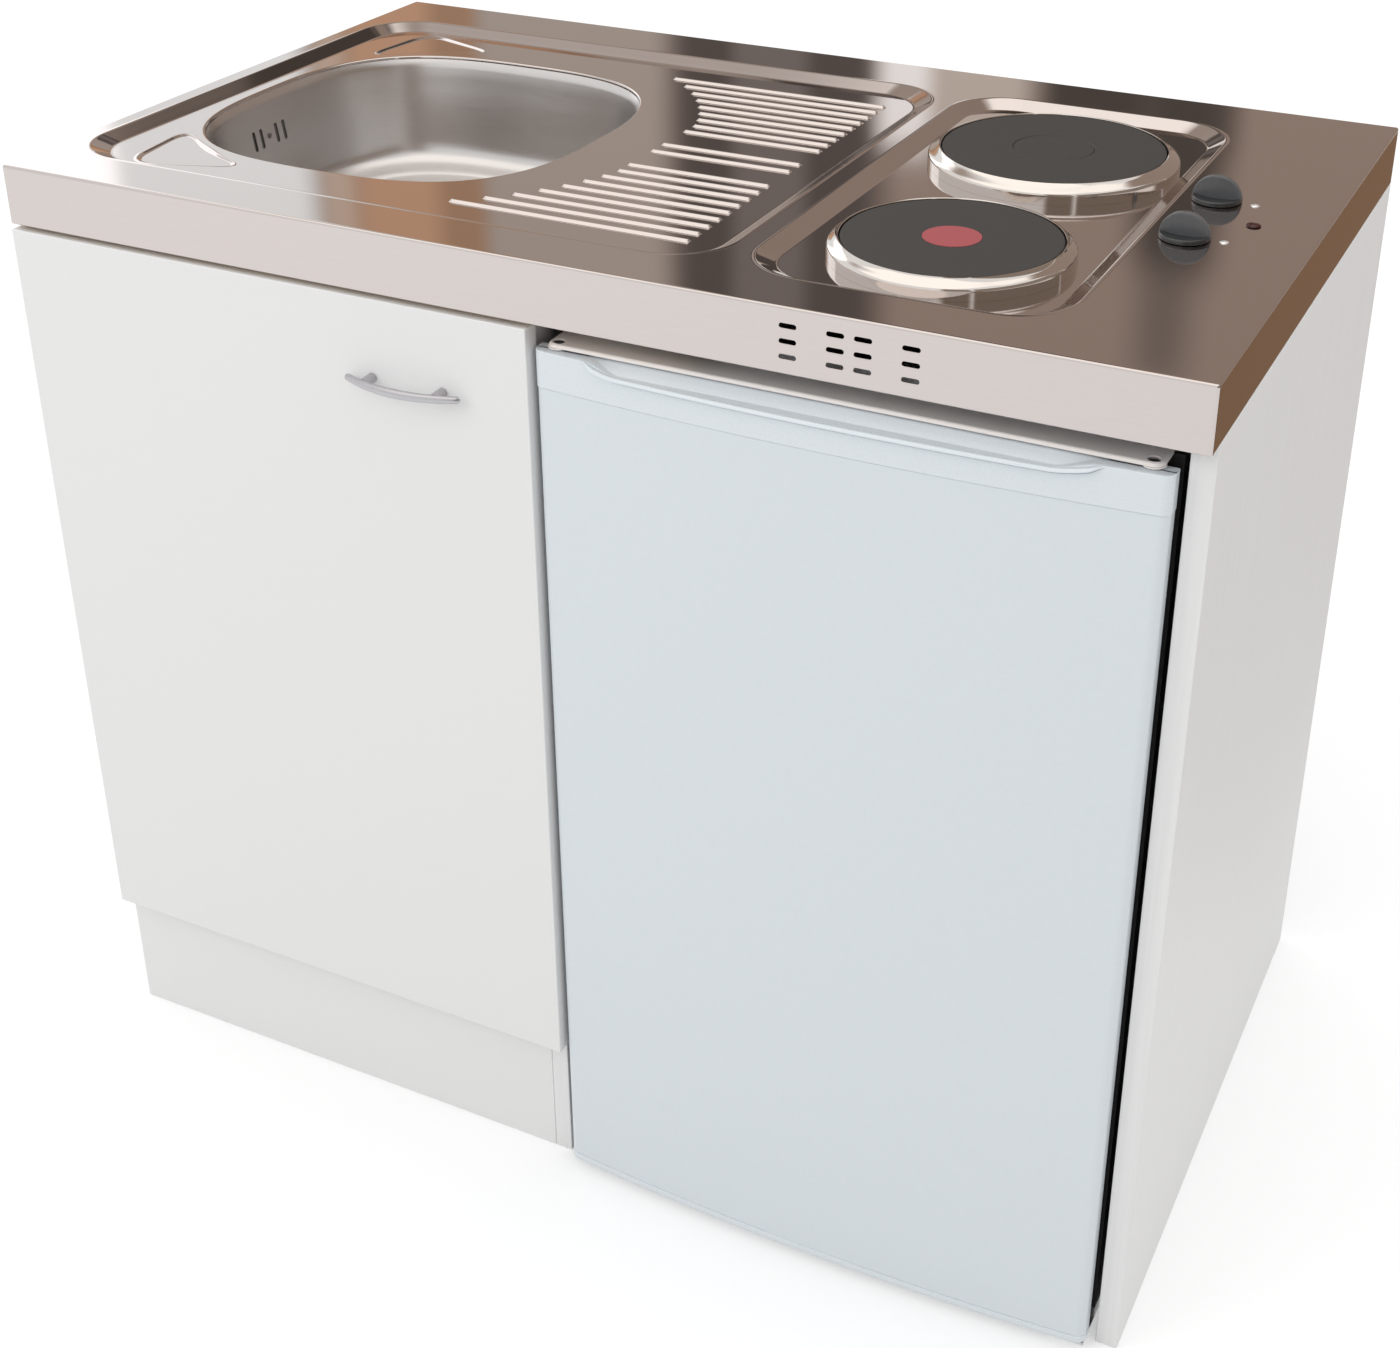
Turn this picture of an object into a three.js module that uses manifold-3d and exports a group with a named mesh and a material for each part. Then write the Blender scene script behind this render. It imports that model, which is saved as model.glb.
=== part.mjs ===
// A 100 cm kitchenette: pressed steel worktop with a bowl, a drainer and two hotplates,
// on a one-door sink cabinet and an under-counter fridge beside it.
// Millimetres, +Z up, front towards -Y, floor at Z = 0.
import * as THREE from 'three';
import { mergeVertices } from 'three/addons/utils/BufferGeometryUtils.js';
import Module from 'manifold-3d';

const wasm = await Module();
wasm.setup();

// ---- driving dimensions -------------------------------------------------------------
const WIDTH = 1000;
const DEPTH = 600;
const HEIGHT = 870;
const APRON = 50; // folded edge of the worktop
const SHEET = 1.2; // pressed sheet
const BOARD = 16; // cabinet boards
const SIDE_BOARD = 18; // right side panel
const GAP = 0.3; // between pieces that touch
const DOOR_PROUD = 2; // cabinet door face in front of the worktop's front plane
const HANDLE_PROJECTION = 22; // handle in front of the door face
const HANDLE_REACH = DOOR_PROUD + HANDLE_PROJECTION;

// Everything below is placed from the unit's front left floor corner:
// x from the left side, y from the worktop's front plane, z from the floor.
const PANEL_TOP = HEIGHT - APRON - GAP;
const CARCASS_FRONT = 16;
const RIGHT_PANEL_FRONT = 18;
const BACK = DEPTH - 0.5;
const PARTITION = [472, 488];
const NICHE = [PARTITION[1], WIDTH - SIDE_BOARD];

const DOOR = { x: [2, 492], z: [131, 816], pivot: [8, 2] };
const PLINTH_TOP = DOOR.z[0] - GAP;

const RECESS_DEPTH = 7;
const RECESS_SLOPE = 15;
const RECESS_FLOOR = HEIGHT - RECESS_DEPTH;
const SINK_RECESS = { x: [17, 615], y: [52.5, 535.5], r: 45 };
const HOB_RECESS = { x: [634, 878], y: [51, 538], r: 50 };
const DISH = { depth: 2.5, slope: 6, corner: 14 };
const DISH_CORNERS = [[60, 148], [158, 98], [66, 74]];

const BOWL = { x: 217, y: 291.5, mouth: 172, drain: 46, power: 2.9, wall: 1, sides: 24 };
const RIBS = {
  right: 575, arc: 240.5, leftmost: 230, width: 5.5, height: 2.2,
  inner: 9.8, outer: 50, pitch: 17.5, perSide: 9,
};
const OVERFLOW = { y: 276, z: 824, offsets: [-22, -11, 11, 22], slot: [4.5, 18], screw: 2.5 };

const PLATE_X = 760;
const PLATES = {
  rear: { y: 394, ring: 102.5, disc: 91.4, hole: 84 },
  front: { y: 160, ring: 91.8, disc: 82.2, hole: 75 },
};
const PLATE_TOP = HEIGHT + 8;
const RED_MARK_RADIUS = 22;
const KNOBS = { rear: [908, 346], front: [908, 253] };
const KNOB = { radius: 19.5, base: 4, fin: 15, finWidth: 5, spindle: 3 };
const LAMP = { at: [948, 299.5], radius: 5 };
const VENT = { columns: [702, 737.5, 758, 793], drops: [14, 25.5, 37], length: 13, height: 3.5 };

const FRIDGE = { x: [496, 976], front: 31, back: 520, z: [22, 803], wall: 1 };
const FRIDGE_OPENING = { x: [532, 940], z: [62, 766] };
const COMPRESSOR_BAY = { front: 400, top: 200 };
const LEAF = { corner: 2, back: 17, bow: 10.5, radius: 8, z: [8, 800], bottomCap: 8, topCap: 30, skin: 1 };
const LEAF_WIDTH = FRIDGE.x[1] - FRIDGE.x[0];
const PIVOT = { x: 960, y: 13, pin: 3, bore: 3.4, hole: 4.85 };
const TRAVERSE = { x: [504, 968], front: 6.5, back: 60, top: 805, sheet: 1.5, lip: 3.1, corner: 7 };
const GRIP = { x: [541, 930], ramps: [30, 38], drop: 6.5, bead: 3, front: -1, back: 9 };

// ---- materials ----------------------------------------------------------------------
const paint = (color, roughness, metalness = 0) =>
  new THREE.MeshStandardMaterial({ color, roughness, metalness });
const polishedSteel = paint(0xb9b2ac, 0.18, 1);
const satinSteel = paint(0xb4b2b1, 0.38, 1);
const whiteBoard = paint(0xe4e3e2, 0.55);
const rawTimber = paint(0xc9a878, 0.8);
const castIron = paint(0x4a4744, 0.75, 0.3);
const redEnamel = paint(0xb5515a, 0.5);
const knobPlastic = paint(0x5d5f62, 0.45);
const lampPlastic = paint(0x551515, 0.2);
const zincSteel = paint(0xa9abad, 0.4, 0.9);
const handleMetal = paint(0xa4a3a8, 0.35, 0.9);
const doorWhite = paint(0xd8dee2, 0.35);
const linerWhite = paint(0xeef0f1, 0.4);
const blackPaint = paint(0x151515, 0.6);
const greyRubber = paint(0x8c8f92, 0.8);
const clearGlass = paint(0xcfe0dc, 0.08);
const wastePlastic = paint(0xe9e9e7, 0.5);

// ---- solids and booleans ------------------------------------------------------------
// One closed, indexed mesh with shared vertices, no slivers, and its faces pointing out.
function closedMesh(geometry) {
  const bare = geometry.clone();
  bare.deleteAttribute('normal');
  bare.deleteAttribute('uv');
  const shell = mergeVertices(bare, 1e-4);
  const at = shell.attributes.position;
  const corner = (i) => new THREE.Vector3().fromBufferAttribute(at, i);
  const faces = [];
  let volume = 0;
  for (let i = 0; i < shell.index.count; i += 3) {
    const [a, b, c] = [0, 1, 2].map((k) => shell.index.getX(i + k));
    if (a !== b && b !== c && c !== a) {
      faces.push([a, b, c]);
      volume += corner(a).dot(corner(b).cross(corner(c)));
    }
  }
  shell.setIndex(faces.flatMap(([a, b, c]) => (volume > 0 ? [a, b, c] : [a, c, b])));
  return shell;
}

function solid(geometry) {
  const shell = closedMesh(geometry);
  return new wasm.Manifold(new wasm.Mesh({
    numProp: 3,
    vertProperties: new Float32Array(shell.attributes.position.array),
    triVerts: new Uint32Array(shell.index.array),
  }));
}

function fromSolid(result) {
  const mesh = result.getMesh();
  const geometry = new THREE.BufferGeometry();
  geometry.setAttribute('position', new THREE.BufferAttribute(mesh.vertProperties, 3));
  geometry.setIndex(new THREE.BufferAttribute(mesh.triVerts, 1));
  return geometry;
}

const joined = (parts) => parts.map(solid).reduce((all, one) => all.add(one));
const cutAway = (body, tools) => (tools.length ? body.subtract(joined(tools)) : body);
// The geometry of some solids joined together, less some others.
const shaped = (parts, cuts = []) => fromSolid(cutAway(joined(parts), cuts));

// ---- geometry helpers ---------------------------------------------------------------
function block([x0, x1], [y0, y1], [z0, z1]) {
  const box = new THREE.BoxGeometry(x1 - x0, y1 - y0, z1 - z0);
  return box.translate((x0 + x1) / 2, (y0 + y1) / 2, (z0 + z1) / 2);
}

const grown = ([low, high], by) => [low - by, high + by];

// An outline in x and y, raised from z0 to z1.
function prism(shape, [z0, z1], curveSegments = 6) {
  const options = { depth: z1 - z0, bevelEnabled: false, curveSegments };
  return new THREE.ExtrudeGeometry(shape, options).translate(0, 0, z0);
}

// The same, with its top edge grown by `grow` all round, as a pressing tool is.
function pressing(shape, [z0, z1], grow, curveSegments = 6) {
  const geometry = prism(shape, [z0, z1], curveSegments);
  geometry.computeBoundingBox();
  const centre = geometry.boundingBox.getCenter(new THREE.Vector3());
  const half = geometry.boundingBox.getSize(new THREE.Vector3()).multiplyScalar(0.5);
  const at = geometry.attributes.position;
  for (let i = 0; i < at.count; i += 1) {
    if (at.getZ(i) > (z0 + z1) / 2) {
      at.setX(i, centre.x + (at.getX(i) - centre.x) * (1 + grow / half.x));
      at.setY(i, centre.y + (at.getY(i) - centre.y) * (1 + grow / half.y));
    }
  }
  return geometry;
}

// A profile [radius, height] turned about the vertical line through [x, y].
function turned(profile, [x, y] = [0, 0], segments = 32) {
  const points = profile.map(([radius, height]) => new THREE.Vector2(radius, height));
  return new THREE.LatheGeometry(points, segments).rotateX(Math.PI / 2).translate(x, y, 0);
}

const closedRing = (profile, at, segments) => turned([...profile, profile[0]], at, segments);

function pillar([x, y], radius, [z0, z1], sides = 16) {
  return turned([[0, z0], [radius, z0], [radius, z1], [0, z1]], [x, y], sides);
}

// A bar along Y, from y0 to y1, round about [x, z].
function barAlongY([x, z], radius, [y0, y1], sides = 16) {
  const bar = new THREE.CylinderGeometry(radius, radius, y1 - y0, sides);
  return bar.translate(x, (y0 + y1) / 2, z);
}

function tube(points, radius, steps, sides = 8) {
  const path = new THREE.CatmullRomCurve3(points.map((p) => new THREE.Vector3(...p)));
  const section = new THREE.Shape().absarc(0, 0, radius, 0, Math.PI * 2);
  const options = { steps, extrudePath: path, curveSegments: sides / 2 };
  return new THREE.ExtrudeGeometry(section, options);
}

function roundedRectangle([x0, x1], [y0, y1], r) {
  return new THREE.Shape()
    .moveTo(x0 + r, y0)
    .lineTo(x1 - r, y0)
    .absarc(x1 - r, y0 + r, r, -Math.PI / 2, 0)
    .lineTo(x1, y1 - r)
    .absarc(x1 - r, y1 - r, r, 0, Math.PI / 2)
    .lineTo(x0 + r, y1)
    .absarc(x0 + r, y1 - r, r, Math.PI / 2, Math.PI)
    .lineTo(x0, y0 + r)
    .absarc(x0 + r, y0 + r, r, Math.PI, Math.PI * 1.5);
}

// A bar outline with round ends, centred on [x, y] and running along x.
const capsule = ([x, y], length, height) =>
  roundedRectangle([x - length / 2, x + length / 2], [y - height / 2, y + height / 2], height / 2 - 0.001);

// A polygon whose corners are rounded off over `r` along each side.
function roundedPolygon(corners, r) {
  const points = corners.map((p) => new THREE.Vector2(...p));
  const shape = new THREE.Shape();
  points.forEach((corner, i) => {
    const before = points.at(i - 1);
    const after = points[(i + 1) % points.length];
    const from = before.clone().sub(corner).setLength(r).add(corner);
    const to = after.clone().sub(corner).setLength(r).add(corner);
    if (i === 0) {
      shape.moveTo(from.x, from.y);
    } else {
      shape.lineTo(from.x, from.y);
    }
    shape.quadraticCurveTo(corner.x, corner.y, to.x, to.y);
  });
  return shape;
}

// ---- scene graph --------------------------------------------------------------------
const kitchenette = new THREE.Group();
const unit = new THREE.Group();
unit.position.set(-WIDTH / 2, -(DEPTH - HANDLE_REACH) / 2, 0);
kitchenette.add(unit);

function add(name, geometry, material, position = [0, 0, 0]) {
  const mesh = new THREE.Mesh(closedMesh(geometry), material);
  mesh.name = name;
  mesh.position.set(...position);
  unit.add(mesh);
}

// A plain board, given by its extent along x, y and z.
function addBoard(name, x, y, z, material = whiteBoard) {
  const size = [x, y, z].map(([low, high]) => high - low);
  const middle = [x, y, z].map(([low, high]) => (low + high) / 2);
  add(name, new THREE.BoxGeometry(...size), material, middle);
}

// ---- worktop ------------------------------------------------------------------------
// The tool that presses a recess: sloped walls down to a flat floor.
function recessTool({ x, y, r }, drop) {
  const over = 1;
  const outline = roundedRectangle(grown(x, -RECESS_SLOPE), grown(y, -RECESS_SLOPE), r - RECESS_SLOPE / 2);
  const grow = (RECESS_SLOPE * (RECESS_DEPTH + over)) / RECESS_DEPTH;
  return pressing(outline, [RECESS_FLOOR - drop, HEIGHT + over - drop], grow);
}

function dishTool(side, drop) {
  const corners = DISH_CORNERS.map(([x, y]) => [x, BOWL.y + side * (y - BOWL.y)]);
  const floor = RECESS_FLOOR - DISH.depth - drop;
  return pressing(roundedPolygon(corners, DISH.corner), [floor, RECESS_FLOOR + 0.5 - drop], DISH.slope, 3);
}

// Distance of each drainer rib from the bowl's centre line.
function ribOffsets() {
  const outer = Array.from({ length: RIBS.perSide }, (_, i) => RIBS.outer + i * RIBS.pitch);
  return [RIBS.inner, ...outer].flatMap((offset) => [-offset, offset]);
}

function rib(offset) {
  const reach = Math.min(RIBS.leftmost, Math.sqrt(RIBS.arc ** 2 - offset ** 2));
  const left = BOWL.x + reach;
  const outline = capsule([(left + RIBS.right) / 2, BOWL.y + offset], RIBS.right - left, RIBS.width);
  return pressing(outline, [RECESS_FLOOR - SHEET / 2, RECESS_FLOOR + RIBS.height], -1.4, 1);
}

function ventSlot(x, drop) {
  const slot = prism(capsule([0, 0], VENT.length, VENT.height), [-5, 5], 1);
  return slot.rotateX(Math.PI / 2).translate(x, 0, HEIGHT - drop);
}

// Superellipse outline of the bowl at a given mouth radius.
function bowlRadius(angle, power) {
  return (Math.abs(Math.cos(angle)) ** power + Math.abs(Math.sin(angle)) ** power) ** (-1 / power);
}

function bowlOutline(radius) {
  const points = Array.from({ length: BOWL.sides }, (_, i) => {
    const angle = (i / BOWL.sides) * Math.PI * 2;
    const reach = radius * bowlRadius(angle, BOWL.power);
    return new THREE.Vector2(BOWL.x + reach * Math.cos(angle), BOWL.y + reach * Math.sin(angle));
  });
  return new THREE.Shape(points);
}

function worktopSheet() {
  const inside = grown([0, WIDTH], -SHEET);
  const hollow = block(inside, grown([0, DEPTH], -SHEET), [HEIGHT - APRON - 1, HEIGHT - SHEET]);
  const recesses = [SINK_RECESS, HOB_RECESS];
  const dishes = (drop) => [dishTool(1, drop), dishTool(-1, drop)];
  const tools = (drop) => [...recesses.map((one) => recessTool(one, drop)), ...dishes(drop)];
  const underside = solid(hollow).subtract(joined(tools(SHEET)));
  const holes = [
    prism(bowlOutline(BOWL.mouth), [RECESS_FLOOR - 5, HEIGHT]),
    ...Object.values(PLATES).map(({ y, hole }) => pillar([PLATE_X, y], hole, [RECESS_FLOOR - 5, HEIGHT], 32)),
    ...Object.values(KNOBS).map((at) => pillar(at, KNOB.spindle + 1, [HEIGHT - 5, HEIGHT + 5], 12)),
    pillar(LAMP.at, LAMP.radius + GAP, [HEIGHT - 5, HEIGHT + 5], 12),
    ...VENT.columns.flatMap((x) => VENT.drops.map((drop) => ventSlot(x, drop))),
  ];
  const pressed = solid(block([0, WIDTH], [0, DEPTH], [HEIGHT - APRON, HEIGHT]))
    .subtract(underside)
    .subtract(joined(tools(0)))
    .add(joined(ribOffsets().map(rib)));
  return fromSolid(pressed.subtract(joined(holes)));
}

function addWorktop() {
  const low = HEIGHT - APRON + GAP;
  const high = HEIGHT - SHEET - GAP;
  const edge = SHEET + GAP;
  add('worktop_sheet', worktopSheet(), polishedSteel);
  addBoard('batten_front', [edge, 620], [edge, edge + BOARD], [low, high], rawTimber);
  addBoard('batten_rear', [edge, WIDTH - edge], [BACK - edge - BOARD, BACK - edge], [low, high], rawTimber);
}

// ---- sink and waste -----------------------------------------------------------------
const BOWL_FLOOR = 757;
const DRAIN_LEDGE = 750;

// Inner side of the bowl's section, from the mouth to the drain.
const BOWL_SECTION = [
  [BOWL.mouth, RECESS_FLOOR - SHEET - GAP], [169.5, 838], [167, 800], [163.5, 781], [157, 769],
  [149, 763.5], [136, 762], [130, BOWL_FLOOR + 1], [122, BOWL_FLOOR], [62, DRAIN_LEDGE + 3],
  [58, DRAIN_LEDGE], [BOWL.drain, DRAIN_LEDGE - 0.6],
];

// The bowl is turned as a round dish, then its rings are squared up towards the mouth.
function bowlShell() {
  const outer = BOWL_SECTION.map(([radius, z]) => [radius + BOWL.wall, z - BOWL.wall]).reverse();
  const rim = [[BOWL.mouth + 7, outer.at(-1)[1]], [BOWL.mouth + 7, BOWL_SECTION[0][1]]];
  const geometry = closedRing([...BOWL_SECTION, ...outer, ...rim], [0, 0], BOWL.sides);
  const at = geometry.attributes.position;
  for (let i = 0; i < at.count; i += 1) {
    const radius = Math.hypot(at.getX(i), at.getY(i));
    const angle = Math.atan2(at.getY(i), at.getX(i));
    const square = THREE.MathUtils.smoothstep(radius, BOWL.drain + 14, BOWL.mouth - 20);
    const reach = 1 + square * (bowlRadius(angle, BOWL.power) - 1);
    at.setXY(i, BOWL.x + at.getX(i) * reach, BOWL.y + at.getY(i) * reach);
  }
  return geometry;
}

function overflowSlots() {
  const [width, height] = OVERFLOW.slot;
  const wallX = BOWL.x - BOWL.mouth;
  const through = [wallX - 10, wallX + 20];
  const slots = OVERFLOW.offsets.map((offset) => {
    const slot = prism(capsule([0, 0], height, width), [0, through[1] - through[0]], 1);
    return slot.rotateY(Math.PI / 2).translate(through[0], OVERFLOW.y + offset, OVERFLOW.z);
  });
  const screwHole = new THREE.CylinderGeometry(OVERFLOW.screw, OVERFLOW.screw, through[1] - through[0], 12);
  screwHole.rotateZ(Math.PI / 2).translate((through[0] + through[1]) / 2, OVERFLOW.y, OVERFLOW.z);
  return [...slots, screwHole];
}

// Housing behind the slots, and the pipe from it down to the waste body.
function overflowPipe() {
  const wallX = BOWL.x - BOWL.mouth;
  const housing = block([wallX - 20, wallX - 1.5], grown([OVERFLOW.y, OVERFLOW.y], 30), [808, 840]);
  const mouth = block([wallX - 17, wallX], grown([OVERFLOW.y, OVERFLOW.y], 27), [811, 837]);
  const route = [
    [wallX - 10, OVERFLOW.y, 812], [wallX - 10, OVERFLOW.y, 780], [wallX - 4, OVERFLOW.y + 3, 745],
    [wallX + 28, OVERFLOW.y + 8, 722], [wallX + 80, BOWL.y, 720], [BOWL.x - 45.5, BOWL.y, 720],
  ];
  return shaped([housing, tube(route, 8, 16)], [mouth]);
}

const WASTE = { cup: 44, wall: 1.5, top: DRAIN_LEDGE + 1.6, bottom: 708, outlet: 20, end: 688 };

function addSink() {
  const centre = [BOWL.x, BOWL.y];
  add('sink_bowl', fromSolid(solid(bowlShell()).subtract(joined(overflowSlots()))), satinSteel);
  add('overflow_pipe', overflowPipe(), wastePlastic);

  const { cup, wall, top, bottom, outlet, end } = WASTE;
  const inner = [[cup - wall, top], [cup - wall, bottom + 6], [outlet - wall, bottom], [outlet - wall, end]];
  const flange = [[cup, top - 1.2], [56, top - 1.2], [56.5, top]];
  const outer = [[outlet, end], [outlet, bottom - wall], [cup, bottom + 5], ...flange];
  add('waste_body', closedRing([...inner, ...outer], centre, 24), satinSteel);

  const rim = cup - wall - 0.6;
  const basket = [
    [0, top - 28], [rim - 7, top - 28], [rim - 3, top - 8], [rim - 0.8, top + 0.2],
    [rim, top + 1.4], [rim - 3, top + 1.4], [rim - 5.5, top - 8], [rim - 9, top - 26],
    [2.5, top - 26], [2.5, top - 4], [6, top - 2], [6, top + 1], [0, top + 2.5],
  ];
  add('sink_strainer', turned(basket, centre, 24), satinSteel);

  const trap = [
    [outlet - 4, end - GAP], [outlet - 4, 650], [33, 640], [33, 556], [0, 552],
    [0, 548], [35.5, 548], [38, 552], [38, 588], [35.5, 588], [35.5, 642],
    [outlet - 1, 652], [outlet - 1, 672], [outlet + 3, 672], [outlet + 3, end - GAP],
  ];
  const stub = [BOWL.x, 624];
  const outletY = [BOWL.y + 34, BOWL.y + 62];
  const stubWithHole = shaped([turned([...trap, trap[0]], centre, 20), barAlongY(stub, 17, outletY)],
    [barAlongY(stub, 13, [BOWL.y + 20, BOWL.y + 70])]);
  add('trap_body', stubWithHole, wastePlastic);
  const pipeY = [BOWL.y + 62 + GAP, BACK - 2];
  const pipe = shaped([barAlongY(stub, 16, pipeY)], [barAlongY(stub, 13.5, grown(pipeY, 1))]);
  add('trap_outlet_pipe', pipe, wastePlastic);
}

// ---- hob ----------------------------------------------------------------------------
// Cast plate with a hollow underside and a boss for the clamp bolt.
function hotplate({ disc, hole }) {
  const base = RECESS_FLOOR + 3;
  const spigot = hole - 4;
  return [
    [0, PLATE_TOP - 0.4], [disc * 0.35, PLATE_TOP - 0.4], [disc * 0.37, PLATE_TOP],
    [disc - 1.2, PLATE_TOP], [disc, PLATE_TOP - 1], [disc, base],
    [spigot, base], [spigot, base - 15], [spigot - 5, base - 15],
    [spigot - 8, base + 2], [11, base + 2], [11, base - 19], [0, base - 19],
  ];
}

// Pressed ring with a round shoulder that closes the gap between plate and recess.
function trimRing({ ring, disc }) {
  const floor = RECESS_FLOOR + GAP;
  return [
    [ring, floor], [ring, floor + 8], [ring - 1.6, PLATE_TOP - 3.2], [ring - 4.5, PLATE_TOP - 1],
    [disc + 1.6, PLATE_TOP + 0.4], [disc + 0.5, PLATE_TOP], [disc + 0.5, PLATE_TOP - 3],
    [ring - 5.5, PLATE_TOP - 3.6], [ring - 2.6, floor + 7], [ring - 1.4, floor],
  ];
}

// Bar that pulls the plate down against the sheet, with its stud and nut.
function plateClamp({ hole }) {
  const under = RECESS_FLOOR - SHEET - GAP;
  const bossEnd = RECESS_FLOOR - 16 - GAP;
  const reach = hole + 8;
  const end = (side) => grown([side * (reach - 1.25), side * (reach - 1.25)], 1.25);
  return shaped([
    block([-9, 9], [-reach, reach], [840, 842.5]),
    ...[-1, 1].map((side) => block([-9, 9], end(side), [840, under])),
    pillar([0, 0], 4, [833, bossEnd], 12),
    pillar([0, 0], 7, [834, 840.5], 6),
  ]);
}

function knob() {
  const { radius, base, fin, finWidth, spindle } = KNOB;
  const foot = HEIGHT + 0.5;
  const skirt = turned([
    [0, foot], [radius - 0.6, foot], [radius, foot + 1.5],
    [radius - 0.8, foot + base - 0.6], [radius - 2, foot + base], [0, foot + base],
  ], [0, 0], 32);
  const crest = new THREE.Shape().absellipse(0, 0, radius - 0.6, fin, 0, Math.PI, false, 0);
  const blade = prism(crest, [-finWidth / 2, finWidth / 2], 10);
  blade.rotateX(Math.PI / 2).translate(0, 0, foot + base - 0.5);
  return shaped([skirt, blade, pillar([0, 0], spindle, [HEIGHT - 14, foot + 1], 12)]);
}

// Rotary power switch under the sheet: a block with a collar that the spindle turns in.
function rotarySwitch() {
  const top = HEIGHT - SHEET - GAP;
  const bore = pillar([0, 0], KNOB.spindle + GAP, [HEIGHT - 15, HEIGHT], 12);
  const terminals = [-1, 1].map((side) => block(grown([side * 12, side * 12], 2.5), [-14, 14], [839.5, 843]));
  const body = block([-20, 20], [-20, 20], [842, top - 6]);
  return shaped([body, pillar([0, 0], 9, [top - 7, top]), ...terminals], [bore]);
}

function hobTray() {
  const x = [636, WIDTH - SHEET - GAP - 1];
  const y = [8, BACK - BOARD - 4];
  const z = [822.5, 838];
  const hollow = block(grown(x, -SHEET), grown(y, -SHEET), [z[0] + SHEET, z[1] + 1]);
  return shaped([block(x, y, z)], [hollow]);
}

function addHob() {
  for (const [name, plate] of Object.entries(PLATES)) {
    const place = [PLATE_X, plate.y, 0];
    add(`${name}_hotplate`, turned(hotplate(plate)), castIron, place);
    add(`${name}_trim_ring`, closedRing(trimRing(plate)), polishedSteel, place);
    add(`${name}_plate_clamp`, plateClamp(plate), zincSteel, place);
  }
  const mark = [PLATE_TOP - 0.4 + 0.02, PLATE_TOP + 0.1];
  add('quick_plate_mark', pillar([0, 0], RED_MARK_RADIUS, mark, 32), redEnamel, [PLATE_X, PLATES.front.y, 0]);
  for (const [name, at] of Object.entries(KNOBS)) {
    add(`${name}_knob`, knob(), knobPlastic, [...at, 0]);
    add(`${name}_switch`, rotarySwitch(), blackPaint, [...at, 0]);
  }
  add('hob_tray', hobTray(), zincSteel);
  const dome = [
    [0, HEIGHT - 9], [3.5, HEIGHT - 9], [3.5, HEIGHT + 0.4],
    [5.6, HEIGHT + 0.4], [4.6, HEIGHT + 1.8], [0, HEIGHT + 2.4],
  ];
  add('pilot_lamp', turned(dome, [0, 0], 20), lampPlastic, [...LAMP.at, 0]);
  const inlet = barAlongY([934, 838], 7, [499, 512]);
  add('terminal_box', shaped([block([900, 968], [430, 500], [825, 850]), inlet]), blackPaint);
}

// ---- cabinet ------------------------------------------------------------------------
function addCabinet() {
  const inner = [BOARD + GAP, PARTITION[0] - GAP];
  const depth = [CARCASS_FRONT, BACK];
  const behindPlinth = [CARCASS_FRONT + BOARD + GAP, BACK];
  const plinthX = [0, PARTITION[0] - GAP];
  const notch = block([-1, BOARD + 1], [CARCASS_FRONT - 1, behindPlinth[0]], [-1, PLINTH_TOP + GAP]);
  const railZ = [PANEL_TOP - 90, PANEL_TOP];
  const floorZ = [PLINTH_TOP + GAP, PLINTH_TOP + GAP + BOARD];

  add('left_side_panel', shaped([block([0, BOARD], depth, [0, PANEL_TOP])], [notch]), whiteBoard);
  addBoard('partition_panel', PARTITION, depth, [0, PANEL_TOP]);
  addBoard('right_side_panel', [WIDTH - SIDE_BOARD, WIDTH], [RIGHT_PANEL_FRONT, BACK], [0, PANEL_TOP]);
  addBoard('plinth', plinthX, [CARCASS_FRONT, CARCASS_FRONT + BOARD], [0, PLINTH_TOP]);
  addBoard('bottom_panel', inner, depth, floorZ);
  addBoard('front_rail', inner, [CARCASS_FRONT, CARCASS_FRONT + BOARD], [PANEL_TOP - 60, PANEL_TOP]);
  addBoard('rear_rail', inner, [BACK - BOARD, BACK], railZ);
  addBoard('niche_rail', grown(NICHE, -GAP), [BACK - BOARD, BACK], railZ);
}

const HINGE = {
  heights: [DOOR.z[0] + 95, DOOR.z[1] - 95], cupX: 24, cup: 17.5, cupDepth: 11.5, nose: [21.2, 26], tip: 7,
};

function cabinetDoor() {
  const back = BOARD - DOOR_PROUD;
  const bores = HINGE.heights.map((z) => barAlongY([HINGE.cupX, z], HINGE.cup, [back - 12, back + 1], 24));
  return shaped([block(DOOR.x, [-DOOR_PROUD, back], DOOR.z)], bores);
}

// Cup that sits in the door's bore, with a flange on the door's back.
function hingeCup() {
  const back = BOARD - DOOR_PROUD;
  const { cup, cupDepth } = HINGE;
  const flange = block([-18.5, 18.5], [back + GAP, back + 1.3], [-24, 24]);
  const thimble = barAlongY([0, 0], cup - GAP, [back - cupDepth, back + 1], 24);
  return shaped([flange, thimble], [barAlongY([0, 0], cup - 1.6, [back - cupDepth + 1, back + 2], 24)]);
}

// Arm on the side panel, whose nose reaches into the cup.
function hingeArm() {
  const { nose, tip } = HINGE;
  const wall = BOARD + GAP;
  return shaped([
    block([wall, wall + 3], [50, 88], [-25, 25]),
    block([wall + 2.5, wall + 13], [40, 84], [-10, 10]),
    block([nose[0], nose[1] + 3], [17.5, 44], [-8, 8]),
    block(nose, [tip, 19], [-8, 8]),
  ]);
}

const HANDLE = { x: 384.5, z: 751, spacing: 64, length: 104, sagitta: 12, ends: 2.9, middle: 3.7 };

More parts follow.
